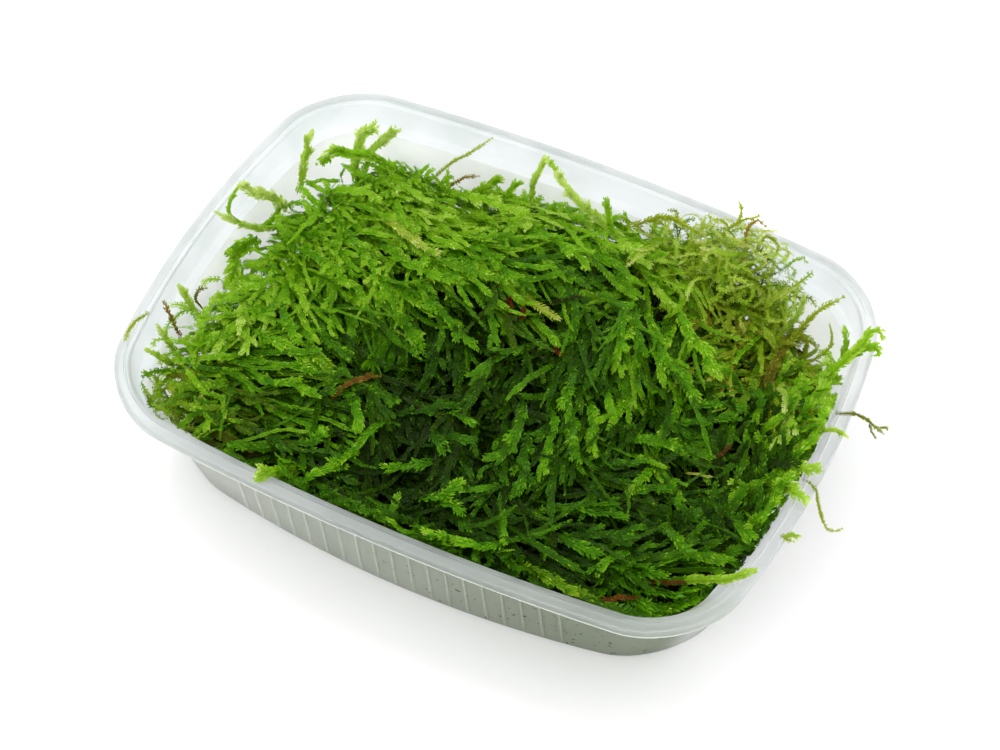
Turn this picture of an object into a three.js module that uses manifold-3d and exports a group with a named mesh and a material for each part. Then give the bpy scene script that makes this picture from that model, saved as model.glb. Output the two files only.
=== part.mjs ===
// Weeping moss in an open, ribbed plastic food tub: a shallow moulded tub, ten combed wads of moss lying in
// it, and the single strands that stick out of them. Millimetres, +Z up, +X along the tub's long side, with
// the origin in the middle of the tub's flat base.

import * as THREE from "three";
import Module from "manifold-3d";
import { mergeVertices } from "three/addons/utils/BufferGeometryUtils.js";

const wasm = await Module();
wasm.setup();

// Driving dimensions of the tub
const TUB_HEIGHT = 36;
const WALL = 0.8;
const RIM = { length: 179, width: 132, corner: 19.6, bowX: 7.1, bowY: 5.1 };
const BASE = { length: 155, width: 113, corner: 19, bowX: 4, bowY: 9.1 };
const FLANGE_WIDTH = 4.2;
const SKIRT_HEIGHT = 2.6;
const LEDGE_HEIGHT = 28.5;
const LEDGE_INSET = 7;
const RIM_EDGE = 0.4;
const RIM_DRAFT = 1.2;
const BASE_ROUNDING = 1.6;
const RIB_PITCH = 5;
const RIB_WIDTH = 1.2;
const RIB_RELIEF = 0.4;
const RIBS_ALONG_LENGTH = 19;
const RIBS_ALONG_WIDTH = 11;
const CORNER_STEPS = 5;
const LONG_SIDE_STEPS = 4;
const SHORT_SIDE_STEPS = 4;

// Driving dimensions of the moss
const CLEARANCE = 0.3;
const HEAP_PLATEAU = 35;
const HEAP_BLOCK = { length: 176, width: 128, stepsX: 10, stepsY: 7 };
const HEAP_EDGE_STEPS = 34;
const SMALLEST_WAD = 500;
const LOCK_LENGTH = 36;
const LOCK_WIDTH = 10;
const LOCK_THICKNESS = 4.5;
const LOCK_ROWS = 6;
const LOCK_COLUMNS = 6;
const LOCK_SPACING_X = 23;
const LOCK_SPACING_Y = 18;
const LOCK_UNEVENNESS = 2.5;
const STRAND_SIDES = 4;
const STRAND_STEP = 7;
const STRAND_FLATNESS = 0.6;

// Routes of the strands are read on the plane of the tub's ledge, looking from this point
const EYE = new THREE.Vector3(194, -364, 571);
const READING_HEIGHT = 32;

const MATERIALS = {
  tub: new THREE.MeshStandardMaterial({
    color: 0xdfe6e4, roughness: 0.3, metalness: 0, transparent: true, opacity: 0.45,
  }),
  fresh_moss: new THREE.MeshStandardMaterial({ color: 0x4f8a14, roughness: 0.55, metalness: 0 }),
  old_moss: new THREE.MeshStandardMaterial({ color: 0x7d7a2c, roughness: 0.65, metalness: 0 }),
};

// One station of the tub's outline: a rounded rectangle whose four sides bow outwards
function station(outline, inset, z) {
  return { ...outline, length: outline.length - 2 * inset, width: outline.width - 2 * inset,
    corner: Math.max(outline.corner - inset, 0.5), z };
}

// Points around one station, counterclockwise, with the same number of points at every station
function outlinePoints(s) {
  const halfX = s.length / 2 - s.bowX;
  const halfY = s.width / 2 - s.bowY;
  const arcs = [[1, 1], [-1, 1], [-1, -1], [1, -1]].map(([sx, sy], quarter) => {
    const centre = new THREE.Vector2(sx * (halfX - s.corner), sy * (halfY - s.corner));
    return Array.from({ length: CORNER_STEPS + 1 }, (_, i) => {
      const angle = (quarter + i / CORNER_STEPS) * Math.PI / 2;
      return new THREE.Vector2(Math.cos(angle), Math.sin(angle)).multiplyScalar(s.corner).add(centre);
    });
  });
  const plain = arcs.flatMap((arc, quarter) => {
    const sideStart = arcs[(quarter + 3) % 4][CORNER_STEPS];
    const steps = quarter % 2 === 0 ? SHORT_SIDE_STEPS : LONG_SIDE_STEPS;
    const side = Array.from({ length: steps - 1 }, (_, i) => sideStart.clone().lerp(arc[0], (i + 1) / steps));
    return [...side, ...arc];
  });
  return plain.map((p) => {
    const alongX = p.x / halfX;
    const alongY = p.y / halfY;
    return new THREE.Vector2(
      p.x + s.bowX * alongX * (1 - alongY * alongY),
      p.y + s.bowY * alongY * (1 - alongX * alongX),
    );
  });
}

// A closed solid through a stack of stations: a lathe whose columns are moved onto the outlines
function stackedSolid(stations) {
  const columns = outlinePoints(stations[0]).length;
  const profile = [new THREE.Vector2(0, stations[0].z)];
  stations.forEach((s) => profile.push(new THREE.Vector2(s.length / 2, s.z)));
  profile.push(new THREE.Vector2(0, stations[stations.length - 1].z));
  const lathe = new THREE.LatheGeometry(profile, columns);
  const position = lathe.getAttribute("position");
  const outlines = stations.map(outlinePoints);
  const rows = profile.length;
  for (let column = 0; column <= columns; column++) {
    for (let row = 0; row < rows; row++) {
      const index = column * rows + row;
      const onAxis = row === 0 || row === rows - 1;
      const point = onAxis ? new THREE.Vector2() : outlines[row - 1][column % columns];
      position.setXYZ(index, point.x, point.y, profile[row].y);
    }
  }
  return toSolid(lathe);
}

// Conversions between three.js geometry and solids that can be joined and cut
function toSolid(geometry) {
  const bare = geometry.clone();
  bare.deleteAttribute("normal");
  bare.deleteAttribute("uv");
  const merged = mergeVertices(bare, 1e-4);
  const index = merged.getIndex().array;
  const kept = [];
  for (let i = 0; i < index.length; i += 3) {
    const [a, b, c] = [index[i], index[i + 1], index[i + 2]];
    if (a !== b && b !== c && c !== a) kept.push(a, b, c);
  }
  return new wasm.Manifold(new wasm.Mesh({
    numProp: 3,
    vertProperties: new Float32Array(merged.getAttribute("position").array),
    triVerts: new Uint32Array(kept),
  }));
}

function toGeometry(solid) {
  const mesh = solid.getMesh();
  const geometry = new THREE.BufferGeometry();
  geometry.setAttribute("position", new THREE.BufferAttribute(new Float32Array(mesh.vertProperties), 3));
  geometry.setIndex(new THREE.BufferAttribute(new Uint32Array(mesh.triVerts), 1));
  geometry.computeVertexNormals();
  return geometry;
}

// The tub's outer and inner surfaces, from the middle of the base out, up, over the rim and back down
function tubStations() {
  const top = TUB_HEIGHT;
  const band = FLANGE_WIDTH + RIM_DRAFT;
  return [
    station(BASE, BASE_ROUNDING, 0),
    station(BASE, 0.3 * BASE_ROUNDING, 0.3 * BASE_ROUNDING),
    station(BASE, 0, BASE_ROUNDING),
    station(RIM, LEDGE_INSET, LEDGE_HEIGHT),
    station(RIM, band - WALL, LEDGE_HEIGHT + WALL),
    station(RIM, FLANGE_WIDTH - WALL, top - WALL),
    station(RIM, WALL, top - WALL),
    station(RIM, WALL, top - SKIRT_HEIGHT),
    station(RIM, 0, top - SKIRT_HEIGHT),
    station(RIM, 0, top - RIM_EDGE),
    station(RIM, RIM_EDGE, top),
    station(RIM, FLANGE_WIDTH - RIM_EDGE, top),
    station(RIM, FLANGE_WIDTH, top - RIM_EDGE),
    station(RIM, band, LEDGE_HEIGHT + 2 * WALL),
    station(RIM, LEDGE_INSET + WALL, LEDGE_HEIGHT + WALL),
    station(BASE, WALL, BASE_ROUNDING + WALL),
    station(BASE, WALL + 0.5 * BASE_ROUNDING, 1.3 * WALL),
    station(BASE, WALL + BASE_ROUNDING, WALL),
  ];
}

// Distance from the middle to a bowed side, at a place along it
function sideDistance(s, along, isLongSide) {
  const halfX = s.length / 2 - s.bowX;
  const halfY = s.width / 2 - s.bowY;
  return isLongSide
    ? halfY + s.bowY * (1 - (along / halfX) ** 2)
    : halfX + s.bowX * (1 - (along / halfY) ** 2);
}

// One upright rib on the outside of a wall, sunk a little into it
function rib(along, side, isLongSide) {
  const foot = station(BASE, 0, 1.5 * BASE_ROUNDING);
  const head = station(RIM, LEDGE_INSET, LEDGE_HEIGHT - 1);
  const place = (s) => {
    const out = side * sideDistance(s, along, isLongSide);
    return isLongSide ? new THREE.Vector3(along, out, s.z) : new THREE.Vector3(out, along, s.z);
  };
  const low = place(foot);
  const high = place(head);
  const up = high.clone().sub(low).normalize();
  const outward = isLongSide ? new THREE.Vector3(0, side, 0) : new THREE.Vector3(side, 0, 0);
  const across = new THREE.Vector3().crossVectors(outward, up).normalize();
  const normal = new THREE.Vector3().crossVectors(up, across);
  const box = new THREE.BoxGeometry(RIB_WIDTH, low.distanceTo(high), 2 * RIB_RELIEF);
  box.applyMatrix4(new THREE.Matrix4().makeBasis(across, up, normal.clone().negate()));
  const middle = low.add(high).multiplyScalar(0.5).addScaledVector(normal, 0.1 * RIB_RELIEF);
  box.translate(middle.x, middle.y, middle.z);
  return toSolid(box);
}

// Ribs in a row along one side, centred on it
function ribsOnSide(count, side, isLongSide) {
  return Array.from({ length: count }, (_, i) => rib((i - (count - 1) / 2) * RIB_PITCH, side, isLongSide));
}

function tub() {
  let solid = stackedSolid(tubStations());
  const ribs = [-1, 1].flatMap((side) => [
    ...ribsOnSide(RIBS_ALONG_LENGTH, side, true),
    ...ribsOnSide(RIBS_ALONG_WIDTH, side, false),
  ]);
  ribs.forEach((one) => { solid = solid.add(one); });
  return solid;
}

// The room inside the tub that moss may fill, kept clear of the walls and carried on above the rim
function roomInTub() {
  const gap = WALL + 3 * CLEARANCE;
  const rimInset = FLANGE_WIDTH + CLEARANCE;
  return stackedSolid([
    station(BASE, gap + BASE_ROUNDING, gap),
    station(BASE, gap + 0.3, gap + BASE_ROUNDING),
    station(RIM, LEDGE_INSET + gap, LEDGE_HEIGHT + WALL),
    station(RIM, rimInset + RIM_DRAFT, LEDGE_HEIGHT + 2 * WALL + CLEARANCE),
    station(RIM, rimInset, TUB_HEIGHT - RIM_EDGE),
    station(RIM, rimInset, 2 * TUB_HEIGHT),
  ]);
}

// Where the heap of moss ends, seen from above, counterclockwise from the back right
const HEAP_EDGE = [
  [74, 38], [62, 45], [52, 52], [40, 58], [25, 57.5], [5, 55], [-10, 51], [-25, 48.5], [-45, 48], [-60, 45],
  [-70, 36], [-75, 20], [-75, 0], [-76, -20], [-75, -38], [-67, -49], [-50, -57], [-25, -60], [0, -61],
  [25, -60], [50, -57], [66, -50], [77, -37], [82, -15], [84, 5], [82, 26],
];

// Swells and hollows of the heap's top: place, height over the plateau and radius
const SWELLS = [
  [6, 28, 7, 26], [34, 10, 8, 20], [66, 10, 2, 20], [36, 48, 5, 13], [-42, 10, 5, 24], [-50, -30, 3, 22],
  [-12, 10, 4, 18], [12, -22, 4, 18], [55, -28, 2, 18], [-22, -12, -7, 8], [39, -2, -7, 6],
  [-10, -46, -6, 8], [20, 27, -4, 8], [62, -17, -6, 8], [2, 12, -5, 7], [76, 48, -9, 18], [78, -50, -9, 17],
];

// Directions in which the strands lie combed, in degrees from +X, read at places all over the heap
const COMBING = [
  [-65, 35, -60], [-45, 28, -42], [-45, 5, -30], [-62, -12, -75], [-50, -30, 4], [-60, -46, -20],
  [-32, -42, 28], [-28, 45, -15], [-10, 45, -22], [12, 48, -28], [-15, 24, -8], [2, 28, -32], [22, 25, -60],
  [30, 8, -75], [30, -15, -80], [46, 30, -52], [45, 14, -45], [62, 22, -92], [77, 22, -85], [78, -10, -80],
  [60, -10, -20], [55, -30, 10], [66, -42, 35], [40, -46, 0], [12, -52, 6], [20, -32, -70], [0, -20, -60],
  [-10, -5, -55], [-15, -40, -88], [-22, -16, -70], [0, 5, -40], [40, 55, 20], [55, 42, -70],
];

// Places where the borders between wads meet, seen from above
const LEFT_MEET = [-30, -8];
const LOW_LEFT_MEET = [-33, -20];
const FRONT_LEFT_MEET = [-38, -33];
const UPPER_MEET = [-12, 14];
const CENTRE_MEET = [14, 6];
const BACK_MEET = [17, 30];
const FRONT_MEET = [16, -28];
const RIGHT_MEET = [46, 4];
const BACK_RIGHT_MEET = [44, 28];
const FRONT_RIGHT_MEET = [38, -28];

// Borders between neighbouring wads, each a line seen from above
const BORDERS = [
  [[-94, 8], [-58, -2], LEFT_MEET],
  [LEFT_MEET, [-20, 4], UPPER_MEET],
  [[-40, 74], [-28, 40], UPPER_MEET],
  [UPPER_MEET, [2, 14], CENTRE_MEET],
  [CENTRE_MEET, [15, 18], BACK_MEET],
  [BACK_MEET, [22, 46], [18, 74]],
  [BACK_MEET, [30, 33], BACK_RIGHT_MEET],
  [BACK_RIGHT_MEET, [64, 18], [98, 16]],
  [BACK_RIGHT_MEET, [47, 16], RIGHT_MEET],
  [RIGHT_MEET, [64, -8], [98, -14]],
  [RIGHT_MEET, [46, -12], FRONT_RIGHT_MEET],
  [FRONT_RIGHT_MEET, [36, -44], [40, -74]],
  [FRONT_MEET, [28, -29], FRONT_RIGHT_MEET],
  [CENTRE_MEET, [17, -10], FRONT_MEET],
  [FRONT_MEET, [0, -31], [-18, -30], FRONT_LEFT_MEET],
  [FRONT_LEFT_MEET, [-40, -50], [-36, -74]],
  [LEFT_MEET, LOW_LEFT_MEET],
  [LOW_LEFT_MEET, FRONT_LEFT_MEET],
  [[-94, -26], [-62, -24], LOW_LEFT_MEET],
];

// Wads of the heap, each named by where it lies and known by a point inside it
const WADS = [
  ["wad_back_left", [-50, 28]], ["wad_back", [-8, 36]], ["wad_back_right", [48, 42]],
  ["wad_left", [-54, -12]], ["wad_middle", [-10, -10]], ["wad_hanging_fronds", [30, 2]],
  ["wad_right", [66, 4]], ["wad_front_left", [-55, -40]], ["wad_front", [0, -46]],
  ["wad_front_right", [62, -34]],
];

// Height of the heap's top: a plateau that falls to the left and the back, with its swells
function heapTop(x, y) {
  const leftFall = 8 * Math.max(0, -x - 34) ** 2 / 40 ** 2;
  const backFall = 9 * Math.max(0, y - 18) ** 2 / 36 ** 2;
  let z = HEAP_PLATEAU - leftFall - backFall;
  SWELLS.forEach(([cx, cy, height, radius]) => {
    z += height * Math.exp(-((Math.hypot(x - cx, y - cy) / radius) ** 2));
  });
  return z;
}

// Direction in which the moss lies at a place: the near readings of COMBING, weighted by distance
function combingAt(x, y) {
  const sum = new THREE.Vector2();
  COMBING.forEach(([cx, cy, degrees]) => {
    const weight = 1 / (1 + Math.hypot(x - cx, y - cy) ** 3 / 200);
    const angle = THREE.MathUtils.degToRad(degrees);
    sum.x += weight * Math.cos(angle);
    sum.y += weight * Math.sin(angle);
  });
  return Math.atan2(sum.y, sum.x);
}

// The heap before it is parted: a block with the heap's top and its edge
function heapBody() {
  const { length, width, stepsX, stepsY } = HEAP_BLOCK;
  const box = new THREE.BoxGeometry(length, width, 1, stepsX, stepsY, 1);
  const position = box.getAttribute("position");
  for (let i = 0; i < position.count; i++) {
    const x = position.getX(i);
    const y = position.getY(i);
    position.setZ(i, position.getZ(i) > 0 ? heapTop(x, y) : -1);
  }
  const edge = new THREE.CatmullRomCurve3(HEAP_EDGE.map(([x, y]) => new THREE.Vector3(x, y, 0)), true);
  const rim = edge.getPoints(HEAP_EDGE_STEPS).slice(0, -1);
  const shape = new THREE.Shape(rim.map((p) => new THREE.Vector2(p.x, p.y)));
  const outline = new THREE.ExtrudeGeometry(shape, { depth: 3 * TUB_HEIGHT, bevelEnabled: false });
  outline.translate(0, 0, -TUB_HEIGHT);
  return toSolid(box).intersect(toSolid(outline));
}

// One lock of moss: a pointed spindle bent to lie on the heap, its tip lifted
function lock(x, y, size) {
  const angle = combingAt(x, y);
  const spindle = new THREE.SphereGeometry(1, 5, 4);
  spindle.rotateX(Math.PI / 2);
  const position = spindle.getAttribute("position");
  for (let i = 0; i < position.count; i++) {
    const along = position.getZ(i);
    const belly = 1 - 0.35 * along;
    const u = along * LOCK_LENGTH * size / 2;
    const v = position.getX(i) * belly * LOCK_WIDTH * size / 2;
    const px = x + u * Math.cos(angle) - v * Math.sin(angle);
    const py = y + u * Math.sin(angle) + v * Math.cos(angle);
    const lift = 0.6 + 1.6 * Math.max(along, 0) ** 2;
    position.setXYZ(i, px, py, heapTop(px, py) + lift + position.getY(i) * belly * LOCK_THICKNESS / 2);
  }
  return toSolid(spindle);
}

// Locks on a staggered grid all over the heap, a little uneven in place and size
function locks() {
  const all = [];
  for (let row = 0; row < LOCK_ROWS; row++) {
    for (let column = 0; column < LOCK_COLUMNS; column++) {
      const shiftX = LOCK_UNEVENNESS * Math.sin(5 * row + 3 * column);
      const shiftY = LOCK_UNEVENNESS * Math.sin(7 * column + 2 * row);
      const x = -60 + LOCK_SPACING_X * (column + 0.5 * (row % 2)) + shiftX;
      const y = -49 + LOCK_SPACING_Y * row + shiftY;
      const inside = Math.abs((x - 3) / 77) ** 3.4 + Math.abs((y + 4) / 56) ** 3.4 < 0.75;
      if (inside) all.push(lock(x, y, 1 + 0.18 * Math.sin(4 * row + 9 * column)));
    }
  }
  return all;
}

// The narrow gap between two wads: an upright wall that follows a border and runs a little past its ends
function slit(points) {
  const curve = new THREE.SplineCurve(points.map(([x, y]) => new THREE.Vector2(x, y)));
  const line = curve.getPoints(2 * (points.length - 1));
  const last = line.length - 1;
  line[0].addScaledVector(line[0].clone().sub(line[1]).normalize(), 2 * CLEARANCE);
  line[last].addScaledVector(line[last].clone().sub(line[last - 1]).normalize(), 2 * CLEARANCE);
  const side = (offset) => line.map((p, i) => {
    const before = line[Math.max(i - 1, 0)];
    const after = line[Math.min(i + 1, line.length - 1)];
    const normal = new THREE.Vector2(before.y - after.y, after.x - before.x).normalize();
    return p.clone().addScaledVector(normal, offset);
  });
  const shape = new THREE.Shape([...side(CLEARANCE / 2), ...side(-CLEARANCE / 2).reverse()]);
  const wall = new THREE.ExtrudeGeometry(shape, { depth: 3 * TUB_HEIGHT, bevelEnabled: false });
  wall.translate(0, 0, -TUB_HEIGHT);
  return toSolid(wall);
}

// A point at a height, on the line from the eye to a place read on the plane of the tub's ledge
function seenAt(x, y, z) {
  const ray = new THREE.Vector3(x, y, READING_HEIGHT).sub(EYE);
  return EYE.clone().addScaledVector(ray, (z - EYE.z) / ray.z);
}

// A strand: a flattened spindle bent along its route, with its widest part near the root
function strand(route, width, extra = 0) {
  const path = new THREE.CatmullRomCurve3(route.map((p) => seenAt(...p)));
  const steps = Math.max(3, Math.round(path.getLength() / STRAND_STEP));
  const profile = [new THREE.Vector2(0, 0)];
  for (let row = 0; row <= steps; row++) profile.push(new THREE.Vector2(width, row));
  profile.push(new THREE.Vector2(0, steps));
  const lathe = new THREE.LatheGeometry(profile, STRAND_SIDES);
  const position = lathe.getAttribute("position");
  const rows = profile.length;
  for (let index = 0; index < position.count; index++) {
    const row = index % rows;
    const angle = 2 * Math.PI * Math.floor(index / rows) / STRAND_SIDES;
    const t = profile[row].y / steps;
    const tangent = path.getTangentAt(t);
    const side = new THREE.Vector3(0, 0, 1).cross(tangent).normalize();
    const up = tangent.clone().cross(side);
    const onAxis = row === 0 || row === rows - 1;
    const halfWidth = onAxis ? 0 : (0.85 + 0.6 * t - t * t) * width / 2 + extra;
    const halfHeight = onAxis ? 0 : STRAND_FLATNESS * (halfWidth - extra) + extra;
    const end = (row <= 1 ? -extra : 0) + (row >= rows - 2 ? extra : 0);
    const point = path.getPointAt(t).addScaledVector(tangent, end)
      .addScaledVector(side, Math.cos(angle) * halfWidth)
      .addScaledVector(up, Math.sin(angle) * halfHeight);
    position.setXYZ(index, point.x, point.y, point.z);
  }
  return toSolid(lathe);
}

// Strands that stick out of the heap: name, material, width and route from root to tip
const STRANDS = [
  ["pointed_shoot_left", "fresh_moss", 2, [[-71.5, 24, 25], [-74, 31, 30], [-77.5, 39, 34], [-79.2, 45.5, 36]]],
  ["pale_shoot_back", "fresh_moss", 2.4, [[-62, 37, 28], [-65, 44, 32], [-66, 50, 35], [-65.3, 55.5, 36]]],
  ["bright_shoot_back", "fresh_moss", 2.4, [[-59, 38, 28], [-61, 46, 33], [-60, 51, 36], [-58, 56, 38]]],
  ["arching_shoot", "fresh_moss", 2.6, [[-46, 40, 28], [-56, 43, 32], [-65, 43, 34], [-70, 40, 33], [-72, 36, 31]]],
  ["dark_stem", "old_moss", 1.2, [[-42, 42, 26], [-40.5, 50, 33], [-37, 57, 38], [-34, 64.5, 42]]],
  ["brown_shoot", "old_moss", 1.2, [[-37.5, 41, 26], [-34.5, 48, 31], [-31, 50.5, 33]]],
  ["back_tip_left", "fresh_moss", 2.2, [[-31, 42, 28], [-27.5, 48, 33], [-26, 53, 36]]],
  ["back_tip_right", "fresh_moss", 2.2, [[-23, 44, 29], [-21, 49, 34], [-20.8, 53.5, 37]]],
  ["forked_shoot_left", "fresh_moss", 1.8, [[-14.5, 48, 31], [-17, 56, 38], [-18.2, 64.5, 43]]],
  ["forked_shoot_right", "fresh_moss", 2.2, [[9, 49, 34], [0, 53, 38], [-8, 57, 41], [-13.8, 61.5, 43]]],
  ["back_tip_middle", "fresh_moss", 1.8, [[11, 47, 36], [6, 53, 39], [2.3, 58.5, 42]]],
  ["olive_stem", "old_moss", 1.6, [[12, 51, 37], [17, 58, 40], [21, 60, 41], [27, 59, 42], [32, 58.5, 43]]],
  ["tangle_tip", "old_moss", 1.6, [[33, 55, 38], [37, 64, 43], [37.5, 69, 46], [34.5, 73.5, 48]]],
  ["red_brown_fork", "old_moss", 1.4, [[43, 58, 41], [40.8, 65, 44.5], [41.5, 69.3, 46], [44.8, 68, 46]]],
  ["tangle_loop", "old_moss", 1.4, [[46, 57, 38], [45.5, 64.5, 41], [49, 65, 41], [50.8, 61.5, 40], [50, 56, 36]]],
  ["pale_shoot_right", "fresh_moss", 1.8, [[62, 40, 26], [59.5, 45, 30], [57, 51.5, 33]]],
  ["slim_shoot_right", "fresh_moss", 1.6, [[61.5, 36, 27], [63.8, 44, 31], [62.5, 52, 35]]],
  ["brown_pointed_stem", "old_moss", 2, [[65, 30, 28], [66, 40, 33], [68, 48, 38], [72, 56, 42]]],
  ["curled_shoot", "old_moss", 1.4, [[71.5, 30, 28], [75, 38, 31], [74.5, 42, 33], [72, 46, 35]]],
  ["hooked_shoot", "fresh_moss", 2.6,
    [[75.5, 28, 32], [79.5, 36, 38.2], [82, 45, 40], [84.2, 50, 41], [86, 48.3, 40]]],
  ["side_hook", "fresh_moss", 1.8, [[83, 36, 37.5], [84.3, 42, 39.5], [86.5, 44.3, 40], [87, 42, 39]]],
  ["short_shoot_right", "fresh_moss", 1.8, [[77.5, 32, 28], [77.8, 41, 33], [76.5, 47, 36]]],
  ["outer_strand", "old_moss", 1.2, [[84, 20, 37.2], [88.5, 22, 38], [93, 21.5, 37], [98, 19.3, 36]]],
  ["pale_strand", "fresh_moss", 1.2, [[81, 12.5, 34], [84, 14, 37], [87, 15.5, 38], [90, 14.5, 38]]],
  ["rim_tip_upper", "fresh_moss", 2.4, [[79, 0, 33], [83, 1.5, 37.5], [87.5, 3, 39]]],
  ["rim_tip_lower", "fresh_moss", 2.4, [[79, -4, 32], [83.5, -5.5, 37.5], [88.2, -7.8, 39]]],
  ["hanging_strand", "old_moss", 1.2,
    [[84.5, -2, 37.2], [88, -2.2, 37.2], [90.5, -5.5, 35.5], [93, -9.5, 33], [96.5, -13, 30], [99.3, -10.5, 29]]],
  ["scrap_on_rim", "old_moss", 1.6, [[86.3, -19.4, 37.3], [90, -19.8, 37.3]]],
  ["shoot_over_rim", "fresh_moss", 2, [[68, -43, 29], [75, -39.5, 33], [80.5, -36, 37.6], [85.5, -31.5, 38.5]]],
  ["strand_on_left_rim", "old_moss", 1.4, [[-86, -28, 37.5], [-87.8, -33, 37.3], [-87, -39.5, 37.2]]],
  ["reddish_tip", "old_moss", 1.6, [[-74, -32, 26], [-80, -27.5, 33], [-84.8, -23.5, 38]]],
  ["dark_tip", "old_moss", 1.4, [[-73, -22, 26], [-77.5, -19.5, 30], [-78.5, -16.5, 32], [-76.5, -14.8, 33]]],
  ["left_tip", "fresh_moss", 1.8, [[-72, -24, 25], [-78.5, -21, 32], [-83.8, -17.2, 36]]],
  ["upper_left_shoot", "fresh_moss", 2, [[-70.5, 17, 25], [-77, 19.5, 33], [-83, 19, 38], [-87.3, 19.2, 40]]],
  ["left_loop", "fresh_moss", 1.6, [[-70, 12, 26], [-75, 8.5, 31], [-81, 8, 36], [-88, 8.3, 40]]],
  ["left_side_shoot", "fresh_moss", 2.6, [[-73.5, 5.5, 27], [-75.3, 0, 29], [-74.3, -6, 29], [-72, -12, 27]]],
  ["pale_tip_left", "fresh_moss", 1.6, [[-72, -37, 26], [-77.5, -34, 32], [-82, -31.2, 36]]],
  ["low_tip_left", "fresh_moss", 1.6, [[-70.5, -40, 27], [-76, -39.6, 33], [-80.5, -39, 36]]],
  ["front_shoot_over_rim", "fresh_moss", 2.6,
    [[-27, -53.5, 32], [-31, -56.5, 36.5], [-34.5, -59, 38], [-35.4, -61.5, 37.7]]],
];

// Build everything: the heap is cut by the strands' pockets and by the slits, then parted into its wads
function heap() {
  let solid = heapBody();
  locks().forEach((one) => { solid = solid.add(one); });
  solid = solid.intersect(roomInTub());
  STRANDS.forEach(([, , width, route]) => { solid = solid.subtract(strand(route, width, CLEARANCE)); });
  BORDERS.forEach((points) => { solid = solid.subtract(slit(points)); });
  return solid;
}

// The wad whose middle lies nearest a place
function nearestPiece(pieces, [x, y]) {
  const distance = (piece) => {
    const box = piece.boundingBox();
    return Math.hypot((box.min[0] + box.max[0]) / 2 - x, (box.min[1] + box.max[1]) / 2 - y);
  };
  return pieces.reduce((best, piece) => (distance(piece) < distance(best) ? piece : best));
}

// One named mesh of the finished object
function named(name, solid, material) {
  const mesh = new THREE.Mesh(toGeometry(solid), MATERIALS[material]);
  mesh.name = name;
  return mesh;
}

const part = new THREE.Group();
part.add(named("tub", tub(), "tub"));
const pieces = heap().decompose().filter((piece) => piece.volume() > SMALLEST_WAD);
WADS.forEach(([name, place]) => part.add(named(name, nearestPiece(pieces, place), "fresh_moss")));
STRANDS.forEach(([name, material, width, route]) => part.add(named(name, strand(route, width), material)));

export default part;
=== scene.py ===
import math

import bpy
import numpy as np
from mathutils import Matrix, Vector


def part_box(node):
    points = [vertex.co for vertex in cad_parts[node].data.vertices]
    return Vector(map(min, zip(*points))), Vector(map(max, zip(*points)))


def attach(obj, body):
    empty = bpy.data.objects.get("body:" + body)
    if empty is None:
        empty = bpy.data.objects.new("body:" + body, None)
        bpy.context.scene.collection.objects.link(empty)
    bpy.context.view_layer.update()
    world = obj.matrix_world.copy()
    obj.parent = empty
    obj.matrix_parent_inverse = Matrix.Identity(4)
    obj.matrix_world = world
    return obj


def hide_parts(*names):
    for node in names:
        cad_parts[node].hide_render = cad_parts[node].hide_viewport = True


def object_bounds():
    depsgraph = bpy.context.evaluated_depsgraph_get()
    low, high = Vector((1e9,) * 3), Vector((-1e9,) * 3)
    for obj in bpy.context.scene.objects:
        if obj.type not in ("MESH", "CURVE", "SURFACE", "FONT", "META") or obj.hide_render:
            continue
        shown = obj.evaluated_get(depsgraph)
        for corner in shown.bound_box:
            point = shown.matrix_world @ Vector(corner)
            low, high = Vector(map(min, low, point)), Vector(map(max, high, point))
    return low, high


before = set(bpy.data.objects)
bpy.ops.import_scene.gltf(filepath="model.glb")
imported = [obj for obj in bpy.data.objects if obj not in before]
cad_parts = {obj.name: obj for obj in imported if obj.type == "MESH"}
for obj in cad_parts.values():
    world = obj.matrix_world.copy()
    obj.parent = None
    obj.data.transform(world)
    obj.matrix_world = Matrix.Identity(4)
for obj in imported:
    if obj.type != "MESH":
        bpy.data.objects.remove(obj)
cad_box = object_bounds()

# Wet weeping moss heaped in an open, ribbed food tub of milky polypropylene. Lengths are in millimetres and
# become metres where a mesh is made. +X runs along the tub's long side and the tub's base stands on z = 0.

MM = 0.001
PER_METRE = 1000
rng = np.random.default_rng(31)

# Tub
TUB_HEIGHT = PER_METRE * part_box("tub")[1][2]
WALL = 0.8
RIM = {"length": 179.0, "width": 132.0, "corner": 19.6, "bow": (7.1, 5.1)}
BASE = {"length": 155.0, "width": 113.0, "corner": 19.0, "bow": (4.0, 9.1)}
FLANGE_WIDTH = 4.2
SKIRT_HEIGHT = 2.6
LEDGE_HEIGHT = 28.5
LEDGE_INSET = 7.0
RIM_EDGE = 0.4
RIM_DRAFT = 1.2
BASE_ROUNDING = 1.6
RIB_PITCH = 5.0
RIB_RELIEF = 0.45
RIBS_ALONG_LENGTH = 19
RIBS_ALONG_WIDTH = 11

# Moss
HEAP_PLATEAU = 35.0
READING_HEIGHT = 32.0
BOX_MARGIN = 0.1
HIGHEST_LEAF = PER_METRE * cad_box[1][2] - BOX_MARGIN
FARTHEST_LEAF = PER_METRE * cad_box[1][0] - BOX_MARGIN
LEAF_LENGTH = 1.25
LEAF_WIDTH = 0.55
LEAF_PITCH = 0.48
LEAF_OPENING = 31.0
CORE_WIDTH = 1.3
CORE_DEPTH = 0.12
BRANCH_SPACING = 4.0
BRANCH_ANGLE = 40.0
TONE_ALONG_SHOOT = 0.16
WAVER = 0.2

# Widths of shoots of size 1
LAID_WIDTH = 2.6
LEAFY_WIDTH = 1.8
BARE_WIDTH = 2.2

# How far moss keeps from the tub's inner wall
LEAF_MARGIN = 0.15
BODY_MARGIN = 0.3
CROWDED_MARGIN = 0.8
FRINGE_MARGIN = 1.0
SHOOT_MARGIN = 1.2

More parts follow.
